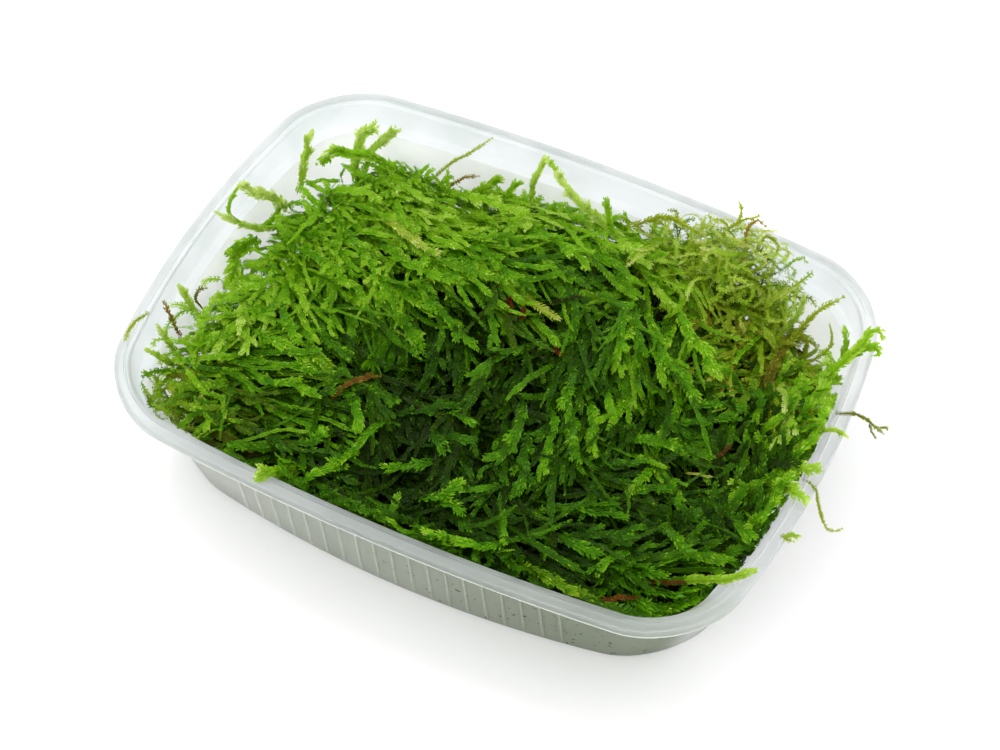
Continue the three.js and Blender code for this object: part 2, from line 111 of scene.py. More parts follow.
# Camera, fitted to the tub's rim and base
CAMERA_AZIMUTH = 27.92
CAMERA_ELEVATION = 53.09
CAMERA_ROLL = -1.27
CAMERA_DISTANCE = 688.81
CAMERA_TARGET = (-0.13, 1.66, 20.0)
SENSOR_WIDTH = 36.0
LENS = 96.11


def linear(hex_colour):
    """An sRGB hex colour as linear red, green, blue and 1 for alpha."""
    srgb = np.array([int(hex_colour[i:i + 2], 16) for i in (1, 3, 5)]) / 255
    low = srgb / 12.92
    high = ((srgb + 0.055) / 1.055) ** 2.4
    return (*np.where(srgb <= 0.04045, low, high).tolist(), 1.0)


def add(tree, kind, settings=(), links=()):
    """Adds a shader node, sets its values or attributes by name, and links its inputs to other sockets."""
    made = tree.nodes.new("ShaderNode" + kind)
    for key, value in dict(settings).items():
        if key == "stops":
            elements = made.color_ramp.elements
            while len(elements) < len(value):
                elements.new(0.5)
            for element, (place, colour) in zip(elements, value):
                element.position = place
                element.color = linear(colour)
        elif isinstance(key, int) or not hasattr(made, key):
            made.inputs[key].default_value = value
        else:
            setattr(made, key, value)
    for key, socket in dict(links).items():
        tree.links.new(socket, made.inputs[key])
    return made


def new_material(name):
    """An empty node material and its tree."""
    material = bpy.data.materials.new(name)
    material.use_nodes = True
    material.node_tree.nodes.clear()
    return material, material.node_tree


def noise(tree, place, scale, detail):
    """Noise read at places, with patches about 1 / scale of a metre wide."""
    return add(tree, "TexNoise", {"Scale": scale, "Detail": detail}, {"Vector": place}).outputs["Fac"]


def ramp(tree, value, start, end, low=0.0, high=1.0):
    """A value that runs from low to high while another one runs from start to end."""
    limits = {"From Min": start, "From Max": end, "To Min": low, "To Max": high}
    return add(tree, "MapRange", limits, {"Value": value}).outputs[0]


def product(tree, *values):
    """The product of values."""
    result = values[0]
    for value in values[1:]:
        result = add(tree, "Math", {"operation": "MULTIPLY"}, {0: result, 1: value}).outputs[0]
    return result


def colour_at(tree, value, stops):
    """The colour that a value picks from stops, which are pairs of a place and an sRGB hex colour."""
    return add(tree, "ValToRGB", {"stops": stops}, {"Fac": value}).outputs["Color"]


def tinted(tree, colour, tint, share):
    """A colour with a share of a tint in it."""
    return add(tree, "Mix", {"data_type": "RGBA", 7: linear(tint)}, {0: share, 6: colour}).outputs[2]


def finish_glowing(tree, colour, glow, skin_values, skin_links=()):
    """Ends a material of one colour: its skin, mixed with a share of light that glows through it."""
    skin = add(tree, "BsdfPrincipled", skin_values, {"Base Color": colour, **dict(skin_links)})
    passing = add(tree, "BsdfTranslucent", {}, {"Color": colour})
    both = add(tree, "MixShader", {0: glow}, {1: skin.outputs[0], 2: passing.outputs[0]})
    add(tree, "OutputMaterial", {}, {"Surface": both.outputs[0]})


def unit(vectors):
    """Vectors of length 1, along the last axis."""
    return vectors / np.maximum(np.linalg.norm(vectors, axis=-1, keepdims=True), 1e-9)


# Materials

def milky_polypropylene(name, clear, glow, dull, bright):
    """Injection-moulded translucent polypropylene: part of the light passes, blurred, part glows through as
    a milky haze and part comes back, so the wall shows what touches it and hides what lies further off. The
    haze drifts from dull to bright over some millimetres, and along the right edge it is painted an even
    near-white: painted light. Inside the front wall a green-grey tint, deeper to the right, is painted shade
    where that wall lies in shade with the dark moss behind it; low down on the right lies a little grit. The
    places are in metres."""
    material, tree = new_material(name)
    place = add(tree, "TexCoord").outputs["Object"]
    x, y, z = add(tree, "SeparateXYZ", {}, {"Vector": place}).outputs
    haze = colour_at(tree, noise(tree, place, 70.0, 3.0), [(0.35, dull), (0.65, bright)])
    # Painted light: the haze turns an even near-white along the right edge
    haze = tinted(tree, haze, "#eef0f0", ramp(tree, x, 0.07, 0.086))
    # Painted shade: a green-grey tint over the front wall below the ledge, deeper to the right, stands for
    # the shade there and the dark moss behind it. The grit lies low on the right of the same wall.
    front = ramp(tree, y, -0.040, -0.046)
    deeper_right = ramp(tree, x, -0.05, 0.05, 0.15, 0.72)
    below_ledge = ramp(tree, z, 0.031, 0.029, 0.25)
    painted_front_shade = product(tree, front, deeper_right, below_ledge)
    low = ramp(tree, z, 0.024, 0.012)
    right = ramp(tree, x, -0.012, 0.02)
    specks = ramp(tree, noise(tree, place, 620.0, 1.0), 0.69, 0.73)
    grit = product(tree, low, front, right, specks)
    # The haze, then the painted shade on the front wall, then the grit
    colour = tinted(tree, tinted(tree, haze, "#98a682", painted_front_shade), "#5e5f48", grit)
    ripple = noise(tree, place, 160.0, 2.0)
    bump = add(tree, "Bump", {"Strength": 0.06, "Distance": 0.0004}, {"Height": ripple})
    skin = {"Roughness": 0.4, "IOR": 1.49, "Transmission Weight": clear}
    finish_glowing(tree, colour, glow, skin, {"Normal": bump.outputs[0]})
    return material


def wet_moss_leaf():
    """Living moss, wet from the tank: thin green leaves, glossy with water, that let part of the light
    through. The map's first coordinate runs from old, dark leaves to young, pale ones and the second from
    green to brown, so that each leaf wears its own shade and is paler at its tip."""
    material, tree = new_material("wet_moss_leaf")
    shade = add(tree, "UVMap", {"uv_map": "OFBake"}).outputs[0]
    apart = add(tree, "SeparateXYZ", {}, {"Vector": shade}).outputs
    green = colour_at(tree, apart["X"], [
        (0.0, "#121c03"), (0.22, "#244705"), (0.4, "#3a7007"), (0.56, "#589a0a"), (0.7, "#86bd18"),
        (0.84, "#a6ce38"), (1.0, "#d6e890")])
    brown = colour_at(tree, apart["X"], [
        (0.0, "#1c1006"), (0.3, "#5c260c"), (0.5, "#84501a"), (0.7, "#a8902c"), (1.0, "#dccf86")])
    colour = add(tree, "Mix", {"data_type": "RGBA"}, {0: apart["Y"], 6: green, 7: brown}).outputs[2]
    finish_glowing(tree, colour, 0.5, {"Roughness": 0.26, "IOR": 1.4, "Specular IOR Level": 0.14})
    return material


def matt_board():
    """Pale painted board, matt, with the faint unevenness of a roller."""
    material, tree = new_material("matt_board")
    place = add(tree, "TexCoord").outputs["Object"]
    colour = colour_at(tree, noise(tree, place, 6.0, 3.0), [(0.3, "#f3f3f3"), (0.7, "#f7f7f7")])
    shader = add(tree, "BsdfPrincipled", {"Roughness": 0.9}, {"Base Color": colour})
    add(tree, "OutputMaterial", {}, {"Surface": shader.outputs[0]})
    return material


# Meshes

def make_piece(name, points, faces, material, shades=None, smooth=True):
    """A mesh object from points in millimetres and faces of one size, with the moss's shade map if given."""
    mesh = bpy.data.meshes.new(name)
    corners = faces.shape[1]
    mesh.vertices.add(len(points))
    mesh.vertices.foreach_set("co", (points * MM).astype(np.float32).ravel())
    mesh.loops.add(faces.size)
    mesh.loops.foreach_set("vertex_index", faces.astype(np.int32).ravel())
    mesh.polygons.add(len(faces))
    mesh.polygons.foreach_set("loop_start", np.arange(0, faces.size, corners, dtype=np.int32))
    mesh.polygons.foreach_set("use_smooth", np.full(len(faces), smooth))
    mesh.update(calc_edges=True)
    if shades is not None:
        shade_map = mesh.uv_layers.new(name="OFBake")
        shade_map.uv.foreach_set("vector", shades[faces.ravel()].astype(np.float32).ravel())
    mesh.materials.append(material)
    piece = bpy.data.objects.new(name, mesh)
    bpy.context.scene.collection.objects.link(piece)
    return piece


def closed_rings(rings):
    """Points and triangles of a closed skin through rings of equal count, its first and last ring each drawn
    together to one point in its middle."""
    count, columns = rings.shape[:2]
    points = np.concatenate([rings.reshape(-1, 3), rings[0].mean(0)[None], rings[-1].mean(0)[None]])
    row, column = np.meshgrid(np.arange(count - 1), np.arange(columns), indexing="ij")
    after = (column + 1) % columns
    a, b = row * columns + column, row * columns + after
    c, d = b + columns, a + columns
    walls = np.concatenate([np.stack([a, b, c], -1).reshape(-1, 3), np.stack([a, c, d], -1).reshape(-1, 3)])
    around = np.arange(columns)
    following = (around + 1) % columns
    first = np.stack([following, around, np.full(columns, count * columns)], -1)
    top = (count - 1) * columns
    last = np.stack([top + around, top + following, np.full(columns, count * columns + 1)], -1)
    return points, np.concatenate([walls, first, last])


# Tub

CORNER_SIGNS = np.array([(1, 1), (-1, 1), (-1, -1), (1, -1)])
CORNER_STEPS = 14
RIB_CREST = 0.3
RIB_FOOT = 0.55
THIRDS = np.array([[1 / 3], [2 / 3]])


def side_places(ribs):
    """Places along a side where the tub's columns stand, five at each rib and one halfway to the next, and
    which of them are on a rib's crest."""
    middles = (np.arange(ribs) - (ribs - 1) / 2) * RIB_PITCH
    at_ribs = middles[:, None] + np.array([-RIB_FOOT, -RIB_CREST, 0, RIB_CREST, RIB_FOOT])
    places = np.sort(np.concatenate([at_ribs.ravel(), middles[:-1] + RIB_PITCH / 2]))
    return places, np.abs(places[:, None] - middles).min(1) < RIB_CREST + 0.01


def corner_arc(half, corner, quarter):
    """A quarter circle at one corner of the rounded rectangle, counterclockwise."""
    angles = (quarter + np.linspace(0, 1, CORNER_STEPS + 1)) * np.pi / 2
    return CORNER_SIGNS[quarter] * (half - corner) + corner * np.stack([np.cos(angles), np.sin(angles)], -1)


def tub_outline(shape, inset, proud=0.0):
    """One ring of the tub seen from above, counterclockwise: a rounded rectangle, inset all round, whose
    sides then bow outwards by a parabola. proud raises the ribs from the sides."""
    bow = np.array(shape["bow"])
    half = np.array([shape["length"], shape["width"]]) / 2 - inset - bow
    corner = shape["corner"] - inset
    ring, raised = [], []
    for quarter, signs in enumerate(CORNER_SIGNS):
        along = 1 - quarter % 2
        places, crests = SIDES[along]
        side = np.empty((len(places), 2))
        side[:, along] = signs[along] * places
        side[:, 1 - along] = signs[1 - along] * half[1 - along]
        arc = corner_arc(half, corner, quarter)
        before = corner_arc(half, corner, quarter - 1)[-1]
        ring += [before + (side[0] - before) * THIRDS, side, side[-1] + (arc[0] - side[-1]) * THIRDS, arc]
        lift = np.zeros((len(side) + len(arc) + 4, 2))
        lift[2:2 + len(side), 1 - along] = signs[1 - along] * crests
        raised.append(lift)
    ring = np.concatenate(ring)
    share = ring / half
    return ring + bow * share * (1 - share[:, ::-1] ** 2) + proud * np.concatenate(raised)


SIDES = [side_places(RIBS_ALONG_LENGTH), side_places(RIBS_ALONG_WIDTH)]


def tub_rings():
    """Rings of the tub's skin: out along the base, up the ribbed wall, over the ledge and the flange with
    its skirt, and back down inside. A wall ring at a height is the straight blend of the base's and the
    ledge's. With each ring comes what the skin above it is: wall, ribs (wall with thick ribs), edge or
    flange."""
    top = TUB_HEIGHT
    band = FLANGE_WIDTH + RIM_DRAFT

    def wall(z, inset, proud=0.0, kind="wall"):
        share = (z - BASE_ROUNDING) / (LEDGE_HEIGHT - BASE_ROUNDING)
        low = tub_outline(BASE, inset, proud)
        high = tub_outline(RIM, LEDGE_INSET + inset, proud)
        return low + (high - low) * share, z, kind

    def rim(inset, z, kind="flange"):
        return tub_outline(RIM, inset), z, kind

    def base(inset, turn, raised):
        drop = BASE_ROUNDING * (1 - math.cos(turn))
        return tub_outline(BASE, inset + BASE_ROUNDING * (1 - math.sin(turn))), raised + drop, "wall"

    turns = np.radians([0, 22, 45, 68, 90])
    stations = [
        *[base(0, turn, 0) for turn in turns],
        wall(2.0, 0, 0, "ribs"), wall(2.6, 0, RIB_RELIEF, "ribs"), wall(10, 0, RIB_RELIEF, "ribs"),
        wall(18, 0, RIB_RELIEF, "ribs"), wall(LEDGE_HEIGHT - 1.4, 0, RIB_RELIEF, "ribs"),
        wall(LEDGE_HEIGHT - 0.8, 0),
        rim(LEDGE_INSET, LEDGE_HEIGHT - 0.2), rim(LEDGE_INSET - 0.2, LEDGE_HEIGHT),
        rim(band - WALL + 0.2, LEDGE_HEIGHT + WALL - 0.1), rim(band - WALL, LEDGE_HEIGHT + WALL + 0.1),
        rim(FLANGE_WIDTH - WALL, top - WALL - 0.2), rim(FLANGE_WIDTH - WALL - 0.2, top - WALL),
        rim(WALL + 0.2, top - WALL), rim(WALL, top - WALL - 0.2),
        rim(WALL, top - SKIRT_HEIGHT + 0.3, "edge"), rim(WALL - 0.15, top - SKIRT_HEIGHT, "edge"),
        rim(0.15, top - SKIRT_HEIGHT, "edge"), rim(0, top - SKIRT_HEIGHT + 0.15, "edge"),
        rim(0, top - SKIRT_HEIGHT + 0.6), rim(0, top - RIM_EDGE), rim(0.12, top - 0.12), rim(RIM_EDGE, top),
        rim(2.2, top), rim(2.4, top - 0.25), rim(2.7, top - 0.25), rim(2.9, top),
        rim(FLANGE_WIDTH - RIM_EDGE, top), rim(FLANGE_WIDTH - 0.12, top - 0.12),
        rim(FLANGE_WIDTH, top - RIM_EDGE),
        rim(band - 0.1, LEDGE_HEIGHT + 2 * WALL + 0.2), rim(band + 0.15, LEDGE_HEIGHT + 2 * WALL),
        rim(LEDGE_INSET + WALL - 0.2, LEDGE_HEIGHT + WALL + 0.1),
        rim(LEDGE_INSET + WALL, LEDGE_HEIGHT + WALL - 0.2, "wall"),
        wall(20, WALL), wall(10, WALL),
        *[base(WALL, turn, WALL) for turn in turns[::-1]],
    ]
    rings = np.stack([np.column_stack([ring, np.full(len(ring), z)]) for ring, z, kind in stations])
    return rings, [kind for ring, z, kind in stations]


def skin_slots(kinds, columns):
    """Material slot of each face of the tub's skin, in the order in which closed_rings makes them: 0 for
    wall, 1 for ribs and edges and 2 for flange."""
    bare = np.linalg.norm(tub_outline(BASE, 0, 1.0) - tub_outline(BASE, 0), axis=-1) > 0.5
    crests = bare & np.roll(bare, -1)
    rows = {"wall": np.zeros(columns, int), "ribs": crests.astype(int), "edge": np.ones(columns, int),
            "flange": np.full(columns, 2)}
    walls = np.concatenate([rows[kind] for kind in kinds[:-1]])
    return np.concatenate([walls, walls, np.zeros(2 * columns, int)]).astype(np.int32)


# Heap

# Where the heap of moss ends, seen from above, counterclockwise from the back right
HEAP_EDGE = np.array([
    (74, 38), (62, 45), (52, 52), (40, 58), (25, 57.5), (5, 55), (-10, 51), (-25, 48.5), (-45, 48), (-60, 45),
    (-69, 36), (-72.5, 20), (-71, 0), (-70.5, -20), (-72, -36), (-66, -48), (-50, -57), (-25, -60), (0, -61),
    (25, -60), (50, -57), (66, -50), (77, -37), (82, -15), (84, 5), (82, 26)])
HEAP_MIDDLE = np.array([3.0, -3.0])

# Swells and hollows of the heap's top: place, height over the plateau and radius
SWELLS = np.array([
    (6, 28, 7, 26), (34, 10, 8, 20), (66, 10, 2, 20), (36, 48, 5, 13), (-42, 10, 5, 24), (-50, -30, 3, 22),
    (-12, 10, 4, 18), (12, -22, 4, 18), (55, -28, 2, 18), (-22, -12, -7, 8), (39, -2, -7, 6),
    (-10, -46, -6, 8), (20, 27, -4, 8), (62, -17, -6, 8), (2, 12, -5, 7), (76, 48, -9, 18),
    (78, -50, -9, 17)])

# How the plateau falls to the left and to the back: where it starts, over what reach, and how far
LEFT_FALL = (34, 40, 8)
BACK_FALL = (18, 36, 9)

# Directions in which the strands lie combed, in degrees from +X, read at places all over the heap
COMBING = np.array([
    (-65, 35, -60), (-45, 28, -42), (-45, 5, -30), (-62, -12, -75), (-50, -30, 4), (-60, -46, -20),
    (-32, -42, 28), (-28, 45, -15), (-10, 45, -22), (12, 48, -28), (-15, 24, -8), (2, 28, -32), (22, 25, -60),
    (30, 8, -75), (30, -15, -80), (46, 30, -52), (45, 14, -45), (62, 22, -92), (77, 22, -85), (78, -10, -80),
    (60, -10, -20), (55, -30, 10), (66, -42, 35), (40, -46, 0), (12, -52, 6), (20, -32, -70), (0, -20, -60),
    (-10, -5, -55), (-15, -40, -88), (-22, -16, -70), (0, 5, -40), (40, 55, 20), (55, 42, -70)])

# Cube of the distance at which a reading's weight is down to a half
COMBING_REACH = 200

# Middles of the wads; a shoot belongs to the wad whose middle lies nearest
WADS = {
    "wad_back_left": (-50, 26), "wad_back": (-8, 34), "wad_back_right": (48, 42), "wad_left": (-54, -12),
    "wad_middle": (-10, -8), "wad_hanging_fronds": (30, 2), "wad_right": (66, 4),
    "wad_front_left": (-56, -42), "wad_front": (0, -46), "wad_front_right": (60, -36)}
WAD_MIDDLES = np.array(list(WADS.values()), float)


def bell(x, y, middle_x, middle_y, radius):
    """A bell of height 1 over a place: exp(-(distance / radius)^2)."""
    return np.exp(-((x - middle_x) ** 2 + (y - middle_y) ** 2) / radius ** 2)


def fall(way, start, reach, drop):
    """How far the plateau has fallen along a way: drop times ((way - start) / reach)^2, or 0 before it."""
    return drop * np.maximum(0, way - start) ** 2 / reach ** 2


def heap_top(x, y):
    """Height of the heap: a plateau that falls to the left and the back, plus a bell for each swell."""
    z = HEAP_PLATEAU - fall(-x, *LEFT_FALL) - fall(y, *BACK_FALL)
    for cx, cy, height, radius in SWELLS:
        z = z + height * bell(x, y, cx, cy, radius)
    return z


def edge_distance(angle):
    """Distance from the heap's middle to its edge, straight between the edge's points by angle."""
    edge = HEAP_EDGE - HEAP_MIDDLE
    angles = np.arctan2(edge[:, 1], edge[:, 0])
    order = np.argsort(angles)
    return np.interp(angle, angles[order], np.hypot(*edge[order].T), period=2 * np.pi)


def heap_reach(x, y):
    """How far out a place lies: 0 at the heap's middle and 1 at its edge."""
    away_x, away_y = x - HEAP_MIDDLE[0], y - HEAP_MIDDLE[1]
    return np.hypot(away_x, away_y) / edge_distance(np.arctan2(away_y, away_x))


def combing(x, y):
    """Direction of the strands at a place: the readings, weighted by 1 / (1 + distance^3 / reach)."""
    away = np.hypot(x[..., None] - COMBING[:, 0], y[..., None] - COMBING[:, 1])
    weight = 1 / (1 + away ** 3 / COMBING_REACH)
    angle = np.radians(COMBING[:, 2])
    return np.arctan2((weight * np.sin(angle)).sum(-1), (weight * np.cos(angle)).sum(-1))


def room_shape(z):
    """Half sizes, bows and corner of the tub's inner outline at a height."""
    def sizes(shape, inset):
        return np.array([shape["length"] / 2 - inset, shape["width"] / 2 - inset, *shape["bow"],
                         shape["corner"] - inset])
    heights = [0, BASE_ROUNDING + WALL, LEDGE_HEIGHT + WALL, LEDGE_HEIGHT + 2 * WALL, TUB_HEIGHT]
    rows = np.array([sizes(BASE, WALL + BASE_ROUNDING), sizes(BASE, WALL), sizes(RIM, LEDGE_INSET + WALL),
                     sizes(RIM, FLANGE_WIDTH + RIM_DRAFT), sizes(RIM, FLANGE_WIDTH)])
    return np.stack([np.interp(z, heights, row) for row in rows.T], -1)


def inside_tub(points, margin):
    """The points, moved inwards where they come within the margin of the tub's inner wall: the bow is taken
    off, the distance to the rounded rectangle is found, and the excess is taken back along its slope."""
    shape = room_shape(points[..., 2])
    half = shape[..., 0:2] - shape[..., 2:4]
    corner = np.maximum(shape[..., 4:5] - margin, 0.5)
    share = np.clip(points[..., :2] / half, -1, 1)
    bowed = shape[..., 2:4] * share * (1 - share[..., ::-1] ** 2)
    flat = points[..., :2] - bowed
    out = np.abs(flat) - (half - margin - corner)
    beyond = np.maximum(out, 0)
    distance = np.linalg.norm(beyond, axis=-1, keepdims=True) - corner
    excess = np.maximum(distance, 0)
    moved = points.copy()
    moved[..., :2] -= np.sign(flat) * unit(beyond + 1e-9) * excess
    return moved


# Shoots

STATIONS = 9

# A shoot turns about a place near its root. Past a share of the way to the heap's edge it sinks, but not
# below a least height.
TURNING_PLACE = 0.3
SINKING_REACH = 0.97
SINKING = 130
LEAST_HEIGHT = 2.5


def shoots_on_heap(x, y, heading, length, bend, depth, sink, lift):
    """Axes of shoots that lie on the heap: each turns steadily by its bend along its length, rises from sink
    below the surface at its root, and lifts its tip; height = heap + depth - sink (1 - s)^2 + lift s^2. At
    the heap's edge this sinks with the power 1.5 of how far out the shoot reaches."""
    s = np.linspace(0, 1, STATIONS)
    angle = heading[:, None] + bend[:, None] * (s - TURNING_PLACE)
    step = length[:, None] / (STATIONS - 1)
    px = x[:, None] + np.cumsum(step * np.cos(angle), 1) - step * np.cos(angle[:, :1])
    py = y[:, None] + np.cumsum(step * np.sin(angle), 1) - step * np.sin(angle[:, :1])
    over = np.maximum(heap_reach(px, py) - SINKING_REACH, 0)
    pz = heap_top(px, py) - SINKING * over ** 1.5 + depth[:, None] - sink[:, None] * (1 - s) ** 2
    pz = pz + lift[:, None] * s ** 2
    return np.stack([px, py, np.maximum(pz, LEAST_HEIGHT)], -1)


def lengths_of(axes):
    """Length of each axis."""
    return np.linalg.norm(np.diff(axes, axis=1), axis=-1).sum(1)


def numbered(counts):
    """Of the things on the shoots, so many on each: the shoot of each, and its number on that shoot."""
    shoot = np.repeat(np.arange(len(counts)), counts)
    return shoot, np.arange(len(shoot)) - np.repeat(np.cumsum(counts) - counts, counts)


def frames_along(axes, roll):
    """Tangent and normal at each station of each axis: the normal is upwards, squared to the tangent, and
    rolled about it."""
    tangent = unit(np.gradient(axes, axis=1))
    up = np.array([0.0, 0.0, 1.0]) - tangent * tangent[..., 2:3]
    up = unit(up + 1e-6)
    side = np.cross(up, tangent)
    roll = roll[:, None, None]
    return tangent, np.cos(roll) * up + np.sin(roll) * side


def at(values, shoot, place):
    """Station values of the shoots, read between stations at a share of the length."""
    where = place * (values.shape[1] - 1)
    low = np.minimum(where.astype(int), values.shape[1] - 2)
    part = (where - low)[:, None]
    return values[shoot, low] * (1 - part) + values[shoot, low + 1] * part


def branches_of(axes, roll, shades, reach):
    """Side branches: they leave their shoot left and right in turn at about one angle, in its own plane,
    longest two thirds of the way up, and bend back towards its direction. Returns their axes, rolls and
    shades."""
    tangent, normal = frames_along(axes, roll)
    count = np.maximum((lengths_of(axes) * 0.8 / BRANCH_SPACING).astype(int), 1)
    shoot, order = numbered(count)
    place = 0.12 + 0.8 * (order + rng.uniform(0.25, 0.75, len(shoot))) / count[shoot]
    start = at(axes, shoot, place)
    along, up = unit(at(tangent, shoot, place)), unit(at(normal, shoot, place))
    hand = np.where(order % 2 == 0, 1.0, -1.0)[:, None]
    turn = np.radians(rng.normal(BRANCH_ANGLE, 7, len(shoot)))[:, None]
    out = np.cos(turn) * along + np.sin(turn) * hand * np.cross(up, along)
    out = unit(out + up * rng.normal(0.08, 0.12, (len(shoot), 1)))
    size = reach * (0.5 + 0.6 * np.sin(np.pi * np.clip(1.15 - place, 0, 1)))
    size = size * rng.uniform(0.6, 1.2, len(shoot))
    s = np.linspace(0, 1, STATIONS)[None, :, None]
    run = size[:, None, None] * s
    paths = start[:, None] + out[:, None] * run + (along - out)[:, None] * run * s * 0.4
    drop = rng.uniform(-0.02, 0.04, len(shoot))[:, None]
    paths[..., 2] -= (run[..., 0] ** 2) * drop
    paler = np.column_stack([rng.normal(0.04, 0.04, len(shoot)), np.zeros(len(shoot))])
    return paths, roll[shoot] + rng.normal(0, 0.2, len(shoot)), shades[shoot] + paler


# A leaf: where it is widest, how far its sides fold up there, and how base, left side, tip and right side
# differ in shade. A few whole leaves and half of the tips catch the light and are paler.
LEAF_WAIST = 0.42
LEAF_FOLD = 0.35
SHADES_IN_LEAF = np.array([(-0.04, 0.0), (-0.01, 0.012), (0.03, 0.0), (-0.01, -0.012)])
LIT_LEAVES = 0.03
LIT_TIPS = 0.5


def leaves_along(axes, roll, shades, size, opening, pitch):
    """Leaves on every shoot: at each step along it one leaf spreads left, one right and one lies over the
    stem. A leaf is a kite, folded along its midrib: base, widest points at two fifths, tip. Its direction is
    the tangent turned outwards by the opening, closing at the shoot's tip. Returns points, shades and the
    shoot of each leaf."""
    tangent, normal = frames_along(axes, roll)
    length = lengths_of(axes)
    steps = np.maximum((length / (pitch * size)).astype(int), 3)
    shoot, order = numbered(steps)
    place = (order + rng.uniform(0, 1, len(shoot))) / steps[shoot]
    shoot, order, place = (np.repeat(v, 3) for v in (shoot, order, place))
    rank = np.tile([1.0, -1.0, 0.0], len(shoot) // 3)
    count = len(shoot)
    centre = at(axes, shoot, place)
    along, up = unit(at(tangent, shoot, place)), unit(at(normal, shoot, place))
    side = np.cross(up, along)
    dorsal = rank == 0
    hand = np.where(dorsal, np.where(order % 2 == 0, 0.45, -0.45), rank)
    closing = np.clip((place - 0.85) / 0.15, 0, 1)
    spread = np.radians((opening[shoot] + rng.normal(0, 6, count)) * (1 - 0.6 * closing))
    raised = np.where(dorsal, rng.uniform(0.1, 0.35, count), rng.normal(-0.05, 0.18, count))
    out = unit(np.cos(spread)[:, None] * along
               + np.sin(spread)[:, None] * (hand[:, None] * side + raised[:, None] * up))
    outward = up + side * np.where(dorsal, 0, 0.2 * hand)[:, None]
    flat = unit(np.cross(outward + rng.normal(0, 0.1, (count, 3)), out))
    fold = np.cross(out, flat)
    phase = rng.uniform(0, 2 * np.pi, len(axes))[shoot]
    swell = np.sin(0.9 * length[shoot] / size[shoot] * place + phase)
    young = (1 - 0.35 * closing) * (0.75 + 0.25 * np.minimum(place * 5, 1)) * (1 + 0.16 * swell)
    scale = size[shoot] * rng.uniform(0.8, 1.2, count) * young * np.where(dorsal, 0.8, 1)
    long = (LEAF_LENGTH * scale)[:, None]
    wide = (LEAF_WIDTH * scale / 2 * rng.uniform(0.85, 1.15, count))[:, None]
    edge = CORE_WIDTH / 2 * size[shoot] * np.where(dorsal, 0.25, 0.62) * (1 - 0.7 * closing)
    base = centre + up * np.where(dorsal, 0.1, -0.05)[:, None] + side * (hand * edge)[:, None]
    waist = base + out * long * LEAF_WAIST + fold * wide * LEAF_FOLD
    tip = base + out * long - up * long * rng.uniform(-0.1, 0.15, count)[:, None]
    points = np.stack([base, waist + flat * wide, tip, waist - flat * wide], 1)
    tone = shades[shoot, 0] + TONE_ALONG_SHOOT * (place - 0.5) + 0.035 * swell + rng.normal(0, 0.025, count)
    hue = shades[shoot, 1] + rng.normal(0, 0.02, count)
    map_points = np.stack([tone, hue], -1)[:, None] + SHADES_IN_LEAF
    lit = rng.uniform(0, 1, count)
    map_points[..., 0] += np.where(lit < LIT_LEAVES, 0.18, 0)[:, None]
    map_points[:, 2, 0] += np.where(lit < LIT_TIPS, np.abs(rng.normal(0, 0.12, count)), 0)
    map_points = np.clip(map_points, 0.01, 0.99)
    return points, map_points, shoot


def ribbons_along(axes, roll, shades, width):
    """The leaf-clad core of each shoot: a flat ribbon along its axis, lying a little under its leaves and
    drawn to a point at both ends; half width = width / 2 times the root of sin(pi s)."""
    tangent, normal = frames_along(axes, roll)
    side = np.cross(normal, tangent)
    s = np.linspace(0, 1, axes.shape[1])
    half = (width[:, None] / 2 * np.sqrt(np.sin(np.pi * s) + 1e-3))[..., None]
    middle = axes - CORE_DEPTH * normal
    points = np.stack([middle - half * side, middle + half * side], 2)
    tone = np.stack([shades[:, :1] + TONE_ALONG_SHOOT * (s - 0.5), np.repeat(shades[:, 1:], len(s), 1)], -1)
    tone = tone[:, :, None] + np.array([(-0.01, -0.01), (0.02, 0.01)])
    return points, np.clip(tone, 0.01, 0.99)


LEAF_FACES = np.array([(0, 1, 2), (0, 2, 3)])


def ribbon_faces(stations):
    """Triangles of one ribbon, two between each pair of stations."""
    low = 2 * np.arange(stations - 1)
    return np.concatenate([np.stack([low, low + 1, low + 3], -1), np.stack([low, low + 3, low + 2], -1)])


def wad_of(places):
    """The wad to which each place belongs."""
    away = np.linalg.norm(places[:, None, :2] - WAD_MIDDLES[None], axis=-1)
    return away.argmin(1)


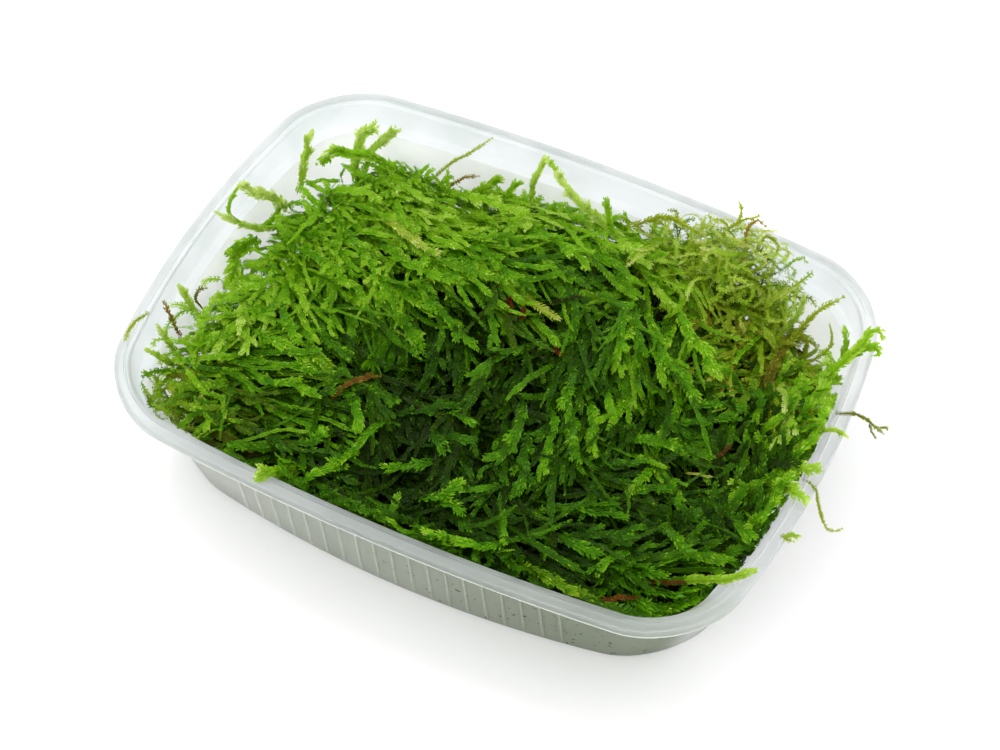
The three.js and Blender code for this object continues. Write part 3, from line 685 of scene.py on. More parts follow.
# Strands that stick out of the heap: name, look, width, and route from root to tip. A route's point is a
# place read on the plane of the tub's ledge, with the height at which the strand passes it.
STRANDS = [
    ("pointed_shoot_left", "pale", 2, [(-71.5, 24, 25), (-74, 31, 30), (-77.5, 39, 34), (-79.2, 45.5, 36)]),
    ("pale_shoot_back", "pale", 2.4, [(-59, 32, 25), (-63, 40, 30), (-66, 49, 35), (-65.3, 55.5, 36)]),
    ("bright_shoot_back", "pale", 2.4, [(-59, 38, 28), (-61, 46, 33), (-60, 51, 36), (-58, 56, 38)]),
    ("arching_shoot", "fresh", 2.6,
     [(-46, 40, 28), (-56, 43, 32), (-65, 43, 34), (-70, 40, 33), (-72, 36, 31)]),
    ("dark_stem", "olive", 1.2, [(-42, 42, 26), (-40.5, 50, 33), (-37, 57, 38), (-34, 64.5, 42)]),
    ("brown_shoot", "brown", 1.2, [(-37.5, 41, 26), (-34.5, 48, 31), (-31, 50.5, 33)]),
    ("back_tip_left", "fresh", 2.2, [(-31, 42, 28), (-27.5, 48, 33), (-26, 53, 36)]),
    ("back_tip_right", "fresh", 2.2, [(-23, 44, 29), (-21, 49, 34), (-20.8, 53.5, 37)]),
    ("forked_shoot_left", "pale", 1.8, [(-14.5, 48, 31), (-17, 56, 38), (-18.2, 64.5, 43)]),
    ("forked_shoot_right", "pale", 2.2, [(9, 49, 34), (0, 53, 38), (-8, 57, 41), (-13.8, 61.5, 43)]),
    ("back_tip_middle", "fresh", 1.8, [(11, 47, 36), (6, 53, 39), (2.3, 58.5, 42)]),
    ("olive_stem", "olive", 2.2, [(12, 51, 37), (17, 58, 40), (21, 60, 41), (27, 59, 42), (32, 58.5, 43)]),
    ("tangle_tip", "olive", 1.6, [(33, 55, 38), (37, 64, 43), (37.5, 69, 46), (34.5, 73.5, 48)]),
    ("red_brown_fork", "brown", 1.4, [(43, 58, 41), (40.8, 65, 44.5), (41.5, 69.3, 46), (44.8, 68, 46)]),
    ("tangle_loop", "olive", 1.4,
     [(46, 57, 38), (45.5, 64.5, 41), (49, 65, 41), (50.8, 61.5, 40), (50, 56, 36)]),
    ("pale_shoot_right", "pale", 1.8, [(62, 40, 26), (59.5, 45, 30), (57, 51.5, 33)]),
    ("slim_shoot_right", "pale", 1.6, [(61.5, 36, 27), (63.8, 44, 31), (62.5, 52, 35)]),
    ("brown_pointed_stem", "olive", 2, [(65, 30, 28), (66, 40, 33), (68, 48, 38), (72, 56, 42)]),
    ("curled_shoot", "olive", 1.4, [(71.5, 30, 28), (75, 38, 31), (74.5, 42, 33), (72, 46, 35)]),
    ("hooked_shoot", "young", 3,
     [(76.5, 28, 32), (80.5, 37, 38), (82, 45.5, 40), (83.3, 49.3, 41), (85.2, 49, 40.5), (85.6, 47, 40)]),
    ("side_hook", "young", 2,
     [(80.5, 37, 37.5), (82.6, 41.4, 39), (84.7, 44.2, 40), (86.5, 44, 40), (87, 42.2, 39.5),
      (86, 41.2, 39)]),
    ("short_shoot_right", "young", 1.8,
     [(75, 27, 25), (79.5, 34, 28), (79, 39.5, 32), (78.2, 42.5, 34), (76.2, 46.6, 36)]),
    ("outer_strand", "dull", 1.2, [(84, 20, 37.2), (88.5, 22, 38), (93, 21.5, 37), (98, 19.3, 36)]),
    ("pale_strand", "pale", 1.2, [(81, 12.5, 34), (84, 14, 37), (87, 15.5, 38), (90, 14.5, 38)]),
    ("rim_tip_upper", "young", 3, [(79, 0, 33), (83, 1.5, 37.5), (87.5, 3, 39)]),
    ("rim_tip_lower", "young", 3, [(79, -4, 32), (83.5, -5.5, 37.5), (88.2, -7.8, 39)]),
    ("hanging_strand", "olive", 1.2,
     [(84.5, -2, 37.2), (88, -2.2, 37.2), (90.5, -5.5, 35.5), (93, -9.5, 33), (96.5, -13, 30),
      (99.3, -10.5, 29)]),
    ("scrap_on_rim", "olive", 1.6, [(86.3, -19.4, 37.3), (90, -19.8, 37.3)]),
    ("shoot_over_rim", "young", 2, [(68, -43, 29), (75, -39.5, 33), (80.5, -36, 37.6), (85.5, -31.5, 38.5)]),
    ("strand_on_left_rim", "olive", 1.4, [(-86, -28, 37.5), (-87.8, -33, 37.3), (-87, -39.5, 37.2)]),
    ("reddish_tip", "brown", 1.6, [(-74, -32, 26), (-80, -27.5, 33), (-84.8, -23.5, 38)]),
    ("dark_tip", "dull", 1.4, [(-73, -22, 26), (-77.5, -19.5, 30), (-78.5, -16.5, 32), (-76.5, -14.8, 33)]),
    ("left_tip", "pale", 1.8, [(-72, -24, 25), (-78.5, -21, 32), (-83.8, -17.2, 36)]),
    ("upper_left_shoot", "pale", 2.6, [(-70.5, 17, 25), (-77, 19.5, 33), (-83, 19, 38), (-87.3, 19.2, 40)]),
    ("left_loop", "pale", 1.6, [(-70, 12, 26), (-75, 8.5, 31), (-81, 8, 36), (-88, 8.3, 40)]),
    ("left_side_shoot", "fresh", 3.8, [(-73.5, 5.5, 27), (-75.3, 0, 29), (-74.3, -6, 29), (-72, -12, 27)]),
    ("pale_tip_left", "pale", 1.6, [(-72, -37, 26), (-77.5, -34, 32), (-82, -31.2, 36)]),
    ("low_tip_left", "pale", 1.6, [(-70.5, -40, 27), (-76, -39.6, 33), (-80.5, -39, 36)]),
    ("front_shoot_over_rim", "fresh", 2.6,
     [(-27, -53.5, 32), (-31, -56.5, 36.5), (-34.5, -59, 38), (-35.4, -61.5, 37.7)]),
]

# Twigs that hang on the strands, written in the same way, each under its strand's name
TWIGS = [
    ("left_loop", "fresh", 1, [(-80, 8.2, 36), (-84.6, 9.6, 38), (-86.4, 14, 39), (-87, 19, 40)]),
    ("left_loop", "fresh", 1.4, [(-74.5, 8, 30), (-73, 12.5, 29), (-73.2, 17, 28), (-75, 21, 29)]),
    ("outer_strand", "dull", 1, [(93, 21.5, 37), (95, 18.5, 36.5), (96.5, 17.6, 36)]),
    ("outer_strand", "dull", 1, [(95.5, 20.6, 36.5), (97.2, 21.6, 36.5), (98, 21.2, 36)]),
    ("scrap_on_rim", "pale", 1.4, [(87.5, -19.6, 37.4), (89, -18, 37.6), (90.6, -18.6, 37.4)]),
    ("tangle_tip", "olive", 1.2, [(37, 66, 44), (40, 69, 46), (42, 71.5, 47)]),
    ("tangle_tip", "olive", 1.2, [(36.5, 63, 43), (33.5, 65, 44), (31, 64, 44)]),
    ("forked_shoot_right", "pale", 1.6, [(-13.4, 61.2, 42.8), (-15.6, 63, 43.3), (-17.6, 64.4, 43.2)]),
]
PIECES = [*WADS, *[name for name, look, width, route in STRANDS]]

# The eye from which all routes were read
EYE = np.array([194.0, -364.0, 571.0])


def seen_at(places):
    """Points at their heights, on the lines from the eye to places read on the plane of the tub's ledge."""
    places = np.asarray(places, float)
    ray = np.concatenate([places[..., :2], np.full((*places.shape[:-1], 1), READING_HEIGHT)], -1) - EYE
    return EYE + ray * ((places[..., 2:] - EYE[2]) / ray[..., 2:])


def through(points, count):
    """Evenly spaced points on the Catmull-Rom curve through the given ones."""
    points = np.asarray(points, float)
    ends = np.concatenate([[2 * points[0] - points[1]], points, [2 * points[-1] - points[-2]]])
    place = np.linspace(0, len(points) - 1, 20 * len(points))
    first = np.minimum(place.astype(int), len(points) - 2)
    part = (place - first)[:, None]
    a, b, c, d = ends[first], ends[first + 1], ends[first + 2], ends[first + 3]
    curve = b + 0.5 * part * (c - a + part * (2 * a - 5 * b + 4 * c - d + part * (3 * b - a - 3 * c + d)))
    run = np.concatenate([[0], np.cumsum(np.linalg.norm(np.diff(curve, axis=0), axis=1))])
    even = np.linspace(0, run[-1], count)
    return np.stack([np.interp(even, run, column) for column in curve.T], -1)


class Moss:
    """Leaves, stems and bodies gathered for each piece until they become one mesh."""

    def __init__(self):
        self.parts = {index: [] for index in range(len(PIECES))}

    def gather(self, points, shades, faces, owner):
        """Adds like shapes, each with its own block of points, to the pieces that own them."""
        for index in np.unique(owner):
            mine = owner == index
            self.parts[index].append((points[mine], shades[mine], faces))

    def mesh(self, index):
        """All shapes of a piece as one list of points, triangles and shades."""
        points, faces, shades, start = [], [], [], 0
        for block, tones, shape_faces in self.parts[index]:
            each = block[0].reshape(-1, 3).shape[0]
            offsets = start + each * np.arange(len(block))
            faces.append((offsets[:, None, None] + shape_faces[None]).reshape(-1, 3))
            points.append(block.reshape(-1, 3))
            shades.append(tones.reshape(-1, 2))
            start += each * len(block)
        return np.concatenate(points), np.concatenate(faces), np.concatenate(shades)


def grow(moss, axes, roll, shades, size, opening=LEAF_OPENING, pitch=LEAF_PITCH, core=CORE_WIDTH,
         owner=None):
    """Clads shoots in leaves, over a core ribbon of that width. Shoots that lie in the tub stay inside it. A
    strand with an owner stands free, so a second ribbon crosses its first and no side sees it edge on."""
    opening = np.broadcast_to(opening, len(axes))
    axes = axes + rng.normal(0, WAVER, axes.shape) * size[:, None, None]
    points, map_points, shoot = leaves_along(axes, roll, shades, size, opening, pitch)
    turns = [0, np.pi / 2]
    if owner is None:
        turns = [0]
        owner = wad_of(axes[:, STATIONS // 2])
        points = inside_tub(points, LEAF_MARGIN)
    farthest = (FARTHEST_LEAF, np.inf, HIGHEST_LEAF)
    moss.gather(np.minimum(points, farthest), map_points, LEAF_FACES, owner[shoot])
    for turn in turns:
        ribbons, ribbon_map = ribbons_along(axes, roll + turn, shades + (-0.03, 0.01), core * size)
        ribbons = np.minimum(ribbons, farthest).reshape(len(axes), -1, 3)
        moss.gather(ribbons, ribbon_map.reshape(len(axes), -1, 2), ribbon_faces(axes.shape[1]), owner)


def scattered(count, spread):
    """Places spread evenly over the heap: four times as many random ones are tried, and at most count of
    those inside are kept.
    """
    x = rng.uniform(-84, 90, 4 * count)
    y = rng.uniform(-66, 64, 4 * count)
    kept = heap_reach(x, y) < spread
    return x[kept][:count], y[kept][:count]


# Places where the moss is old and olive brown: place, strength and radius
OLIVE_PLACES = np.array([(40, 52, 0.55, 14), (58, 42, 0.45, 12), (66, 30, 0.28, 9), (-68, -50, 0.4, 10),
                         (-38, 38, 0.12, 8), (60, -12, 0.12, 8), (-4, 14, 0.2, 6), (-30, -26, 0.15, 8)])

# Places where the moss is paler or darker than the rest: place, change of tone and radius. The darker ones
# are painted shade, in the heap's hollows and over its front slope; the paler ones are painted light.
TONE_PLACES = np.array([
    (-55, 38, 0.08, 26), (-74, 0, 0.1, 16), (-72, -30, 0.08, 14), (80, 22, 0.12, 14), (0, -12, -0.26, 32),
    (5, -48, -0.1, 36), (52, -38, -0.1, 26), (35, 4, -0.1, 22), (31, -4, 0.08, 14), (-10, -48, -0.14, 14),
    (-23, -14, -0.2, 12), (39, 2, -0.16, 8), (62, -18, -0.17, 13), (10, 30, -0.14, 8), (12, 44, 0.06, 16),
    (-2, 13, -0.12, 8), (30, -47, -0.14, 9), (8, -30, -0.08, 14), (-18, 2, -0.15, 15), (66, 2, -0.17, 11),
    (-32, -40, -0.1, 9), (-49, -9, -0.12, 8)])


def painted_light_and_tone(x, y):
    """How much paler or darker than the rest the moss is at a place: painted light makes it paler to the
    back, to the left and at its fringe, but for the front, where light falls from behind; plus patches about
    a centimetre wide from two bent sine waves, plus the bells."""
    # Painted light: paler to the back and the left, and on the backlit fringe away from the front
    change = 0.0016 * y - 0.0004 * x
    lit_fringe = np.clip((heap_reach(x, y) - 0.75) / 0.25, 0, 1) * np.clip((y + 35) / 30, 0, 1)
    wave = 0.06 * np.sin(0.5 * x + 1.3 * np.sin(0.31 * y))
    change = change + 0.09 * lit_fringe + wave * np.sin(0.6 * y + 1.1 * np.sin(0.37 * x))
    for cx, cy, height, radius in TONE_PLACES:
        change = change + height * bell(x, y, cx, cy, radius)
    return change


def shades_at(x, y, base, unevenness):
    """Shade of shoots at places: a base tone changed by the place, a little uneven, and how brown they
    are."""
    tone = base + painted_light_and_tone(x, y) + rng.normal(0, unevenness, len(x))
    hue = 0.03 + np.abs(rng.normal(0, 0.03, len(x)))
    for cx, cy, strength, radius in OLIVE_PLACES:
        hue = hue + strength * bell(x, y, cx, cy, radius) * rng.uniform(0.3, 1.3, len(x))
    return np.column_stack([np.clip(tone, 0.1, 0.66), np.clip(hue, 0.02, 0.95)])


def layer(moss, count, length, depth, tone, size, wander, branched, spread, pitch):
    """One layer of shoots scattered over the heap, combed with a wander in direction. branched is the share
    of them that has side branches. Light from below makes the moss paler where the heap is thin, at the back
    on the left, and the deep layers most."""
    x, y = scattered(count, spread)
    count = len(x)
    heading = combing(x, y) + rng.normal(0, wander, count)
    long = rng.uniform(*length, count)
    start = 0.45 * long
    x, y = x - start * np.cos(heading), y - start * np.sin(heading)
    axes = shoots_on_heap(x, y, heading, long, rng.normal(0, 0.6, count), rng.uniform(*depth, count),
                          rng.uniform(1.5, 5, count), rng.uniform(-1, 2.5, count))
    axes = inside_tub(axes, SHOOT_MARGIN)
    roll = rng.normal(0, 0.45, count)
    thin = np.clip((y + 10) / 80 + (-x - 20) / 80, 0, 1)
    shades = shades_at(x, y, tone + (0.3 if depth[1] < 0 else 0.12) * thin, 0.055)
    sizes = size * rng.uniform(0.7, 1.25, count)
    grow(moss, axes, roll, shades, sizes, rng.normal(LEAF_OPENING, 7, count), pitch)
    chosen = rng.uniform(0, 1, count) < branched
    if chosen.any():
        branch(moss, axes[chosen], roll[chosen], shades[chosen], sizes[chosen], 6.0)


def branch(moss, axes, roll, shades, size, reach, owner=None):
    """Adds side branches to shoots."""
    paths, rolls, child_shades = branches_of(axes, roll, shades, reach)
    if owner is None:
        paths = inside_tub(paths, SHOOT_MARGIN)
    else:
        owner = np.full(len(paths), owner[0])
    grow(moss, paths, rolls, child_shades, size.mean() * rng.uniform(0.6, 0.95, len(paths)), owner=owner)


def locks(moss, count, per_lock, tone, branched):
    """Locks: groups of shoots that start close together, fan out a little along the combing and stand proud
    of the heap in their middle, so that shadowed gaps open between them."""
    x, y = scattered(count, 0.95)
    count = len(x)
    heading = combing(x, y) + rng.normal(0, 0.3, count)
    reach = rng.uniform(18, 34, count)
    wide = rng.uniform(2, 4.5, count)
    lock = np.repeat(np.arange(count), per_lock)
    across = rng.normal(0, 1, len(lock))
    back = rng.uniform(-0.25, 0.35, len(lock)) * reach[lock] + 0.5 * reach[lock]
    rx = x[lock] - back * np.cos(heading[lock]) - across * wide[lock] * np.sin(heading[lock])
    ry = y[lock] - back * np.sin(heading[lock]) + across * wide[lock] * np.cos(heading[lock])
    turn = heading[lock] + 0.13 * across + rng.normal(0, 0.12, len(lock))
    hump = np.exp(-across ** 2)
    proud = 1.6 * hump - 0.8 + rng.normal(0, 0.5, len(lock))
    axes = shoots_on_heap(rx, ry, turn, reach[lock] * rng.uniform(0.6, 1.1, len(lock)),
                          rng.normal(0, 0.6, len(lock)), proud, rng.uniform(2, 5, len(lock)),
                          rng.uniform(-1.5, 2.5, len(lock)))
    axes = inside_tub(axes, SHOOT_MARGIN)
    roll = rng.normal(0, 0.45, len(lock)) + 0.25 * across
    shades = shades_at(rx, ry, tone, 0.04)
    # Each lock has its own tone; the shoots of its proud middle are painted paler, painted light where they
    # stand highest
    shades[:, 0] += rng.normal(0, 0.08, count)[lock] + 0.05 * hump
    sizes = rng.uniform(0.6, 1.05, len(lock))
    grow(moss, axes, roll, shades, sizes, rng.normal(LEAF_OPENING, 7, len(lock)))
    chosen = rng.uniform(0, 1, len(lock)) < branched
    branch(moss, axes[chosen], roll[chosen], shades[chosen], sizes[chosen], 6.5)


def edge_shoots(moss, count):
    """Short young shoots all along the heap's edge: they point outwards and up, and fringe it."""
    angle = rng.uniform(0, 2 * np.pi, count)
    distance = rng.uniform(0.84, 0.97, count) * edge_distance(angle)
    x, y = HEAP_MIDDLE[0] + distance * np.cos(angle), HEAP_MIDDLE[1] + distance * np.sin(angle)
    heading = angle + rng.normal(0, 0.7, count)
    long = rng.uniform(6, 15, count)
    axes = shoots_on_heap(x, y, heading, long, rng.normal(0, 0.8, count), rng.uniform(-1.5, 0.5, count),
                          rng.uniform(0, 2, count), rng.uniform(1, 6, count))
    axes = inside_tub(axes, FRINGE_MARGIN)
    shades = shades_at(x, y, 0.62, 0.09)
    roll = rng.normal(0, 0.6, count)
    grow(moss, axes, roll, shades, rng.uniform(0.6, 1.0, count), rng.normal(32, 8, count))


def upright_shoots(moss, count):
    """Young shoots that crowd against the right wall and lean every way over its ledge."""
    x, y = rng.uniform(66, 79, count), rng.uniform(-34, 30, count)
    heading = np.radians(rng.normal(68, 42, count))
    axes = shoots_on_heap(x, y, heading, rng.uniform(6, 14, count), rng.normal(0, 0.9, count),
                          rng.uniform(-1.5, 1.0, count), rng.uniform(1, 4, count), rng.uniform(0, 5, count))
    axes = inside_tub(axes, CROWDED_MARGIN)
    sizes = rng.uniform(0.65, 1.1, count)
    roll = rng.normal(0, 0.6, count)
    grow(moss, axes, roll, shades_at(x, y, 0.46, 0.09), sizes, rng.normal(34, 9, count))


# Tangles of curling shoots: middle, spread, heights, count, and least and most length, size, tone and brown
# share
TANGLES = [
    ((38, 48), (10, 5), (30, 37), 120, (7, 14), (0.5, 0.75), (0.48, 0.68), (0.2, 0.45)),
    ((39, 52), (10, 4.5), (34, 42), 170, (6, 12), (0.4, 0.65), (0.63, 0.88), (0.15, 0.4)),
    ((42, 60), (6, 3), (37, 44), 60, (5, 9), (0.3, 0.5), (0.76, 0.98), (0.2, 0.5)),
    ((57, 40), (3.5, 4), (28, 36), 50, (7, 12), (0.4, 0.6), (0.55, 0.8), (0.15, 0.4)),
    ((-62, -52), (8, 3), (27, 33), 60, (6, 12), (0.4, 0.6), (0.55, 0.78), (0.15, 0.45)),
    ((-66, -44), (4, 5), (27, 32), 40, (7, 12), (0.6, 0.9), (0.45, 0.7), (0.05, 0.5)),
    ((-70, -20), (4, 9), (26, 33), 30, (7, 13), (0.5, 0.8), (0.66, 0.84), (0.0, 0.12)),
]


def curls(moss, middle, spread, height, count, length, size, tone, brown):
    """A tangle of fine, curling shoots about a place read on the plane of the tub's ledge: each winds at its
    own steady rate while its slope swings, and is clad in small open leaves."""
    away = np.clip(rng.normal(0, 1, (2, count)), -1.7, 1.7)
    x, y = middle[0] + spread[0] * away[0], middle[1] + spread[1] * away[1]
    roots = seen_at(np.column_stack([x, y, rng.uniform(*height, count)]))
    s = np.linspace(0, 1, STATIONS)
    turn = rng.uniform(0, 2 * np.pi, (count, 1)) + rng.normal(0, 2.2, (count, 1)) * s
    slope = 0.5 * np.sin(rng.uniform(0, 2 * np.pi, (count, 1)) + rng.uniform(2, 6, (count, 1)) * s)
    step = rng.uniform(*length, (count, 1)) / (STATIONS - 1)
    way = np.stack([np.cos(turn) * np.cos(slope), np.sin(turn) * np.cos(slope), np.sin(slope)], -1)
    axes = roots[:, None] + np.cumsum(step[..., None] * way, 1)
    axes[..., 2] = np.minimum(axes[..., 2], HIGHEST_LEAF - 1)
    axes = inside_tub(axes, FRINGE_MARGIN)
    shades = np.column_stack([rng.uniform(*tone, count), rng.uniform(*brown, count)])
    grow(moss, axes, rng.normal(0, 0.8, count), shades, rng.uniform(*size, count), 46, 0.9, core=0.9)
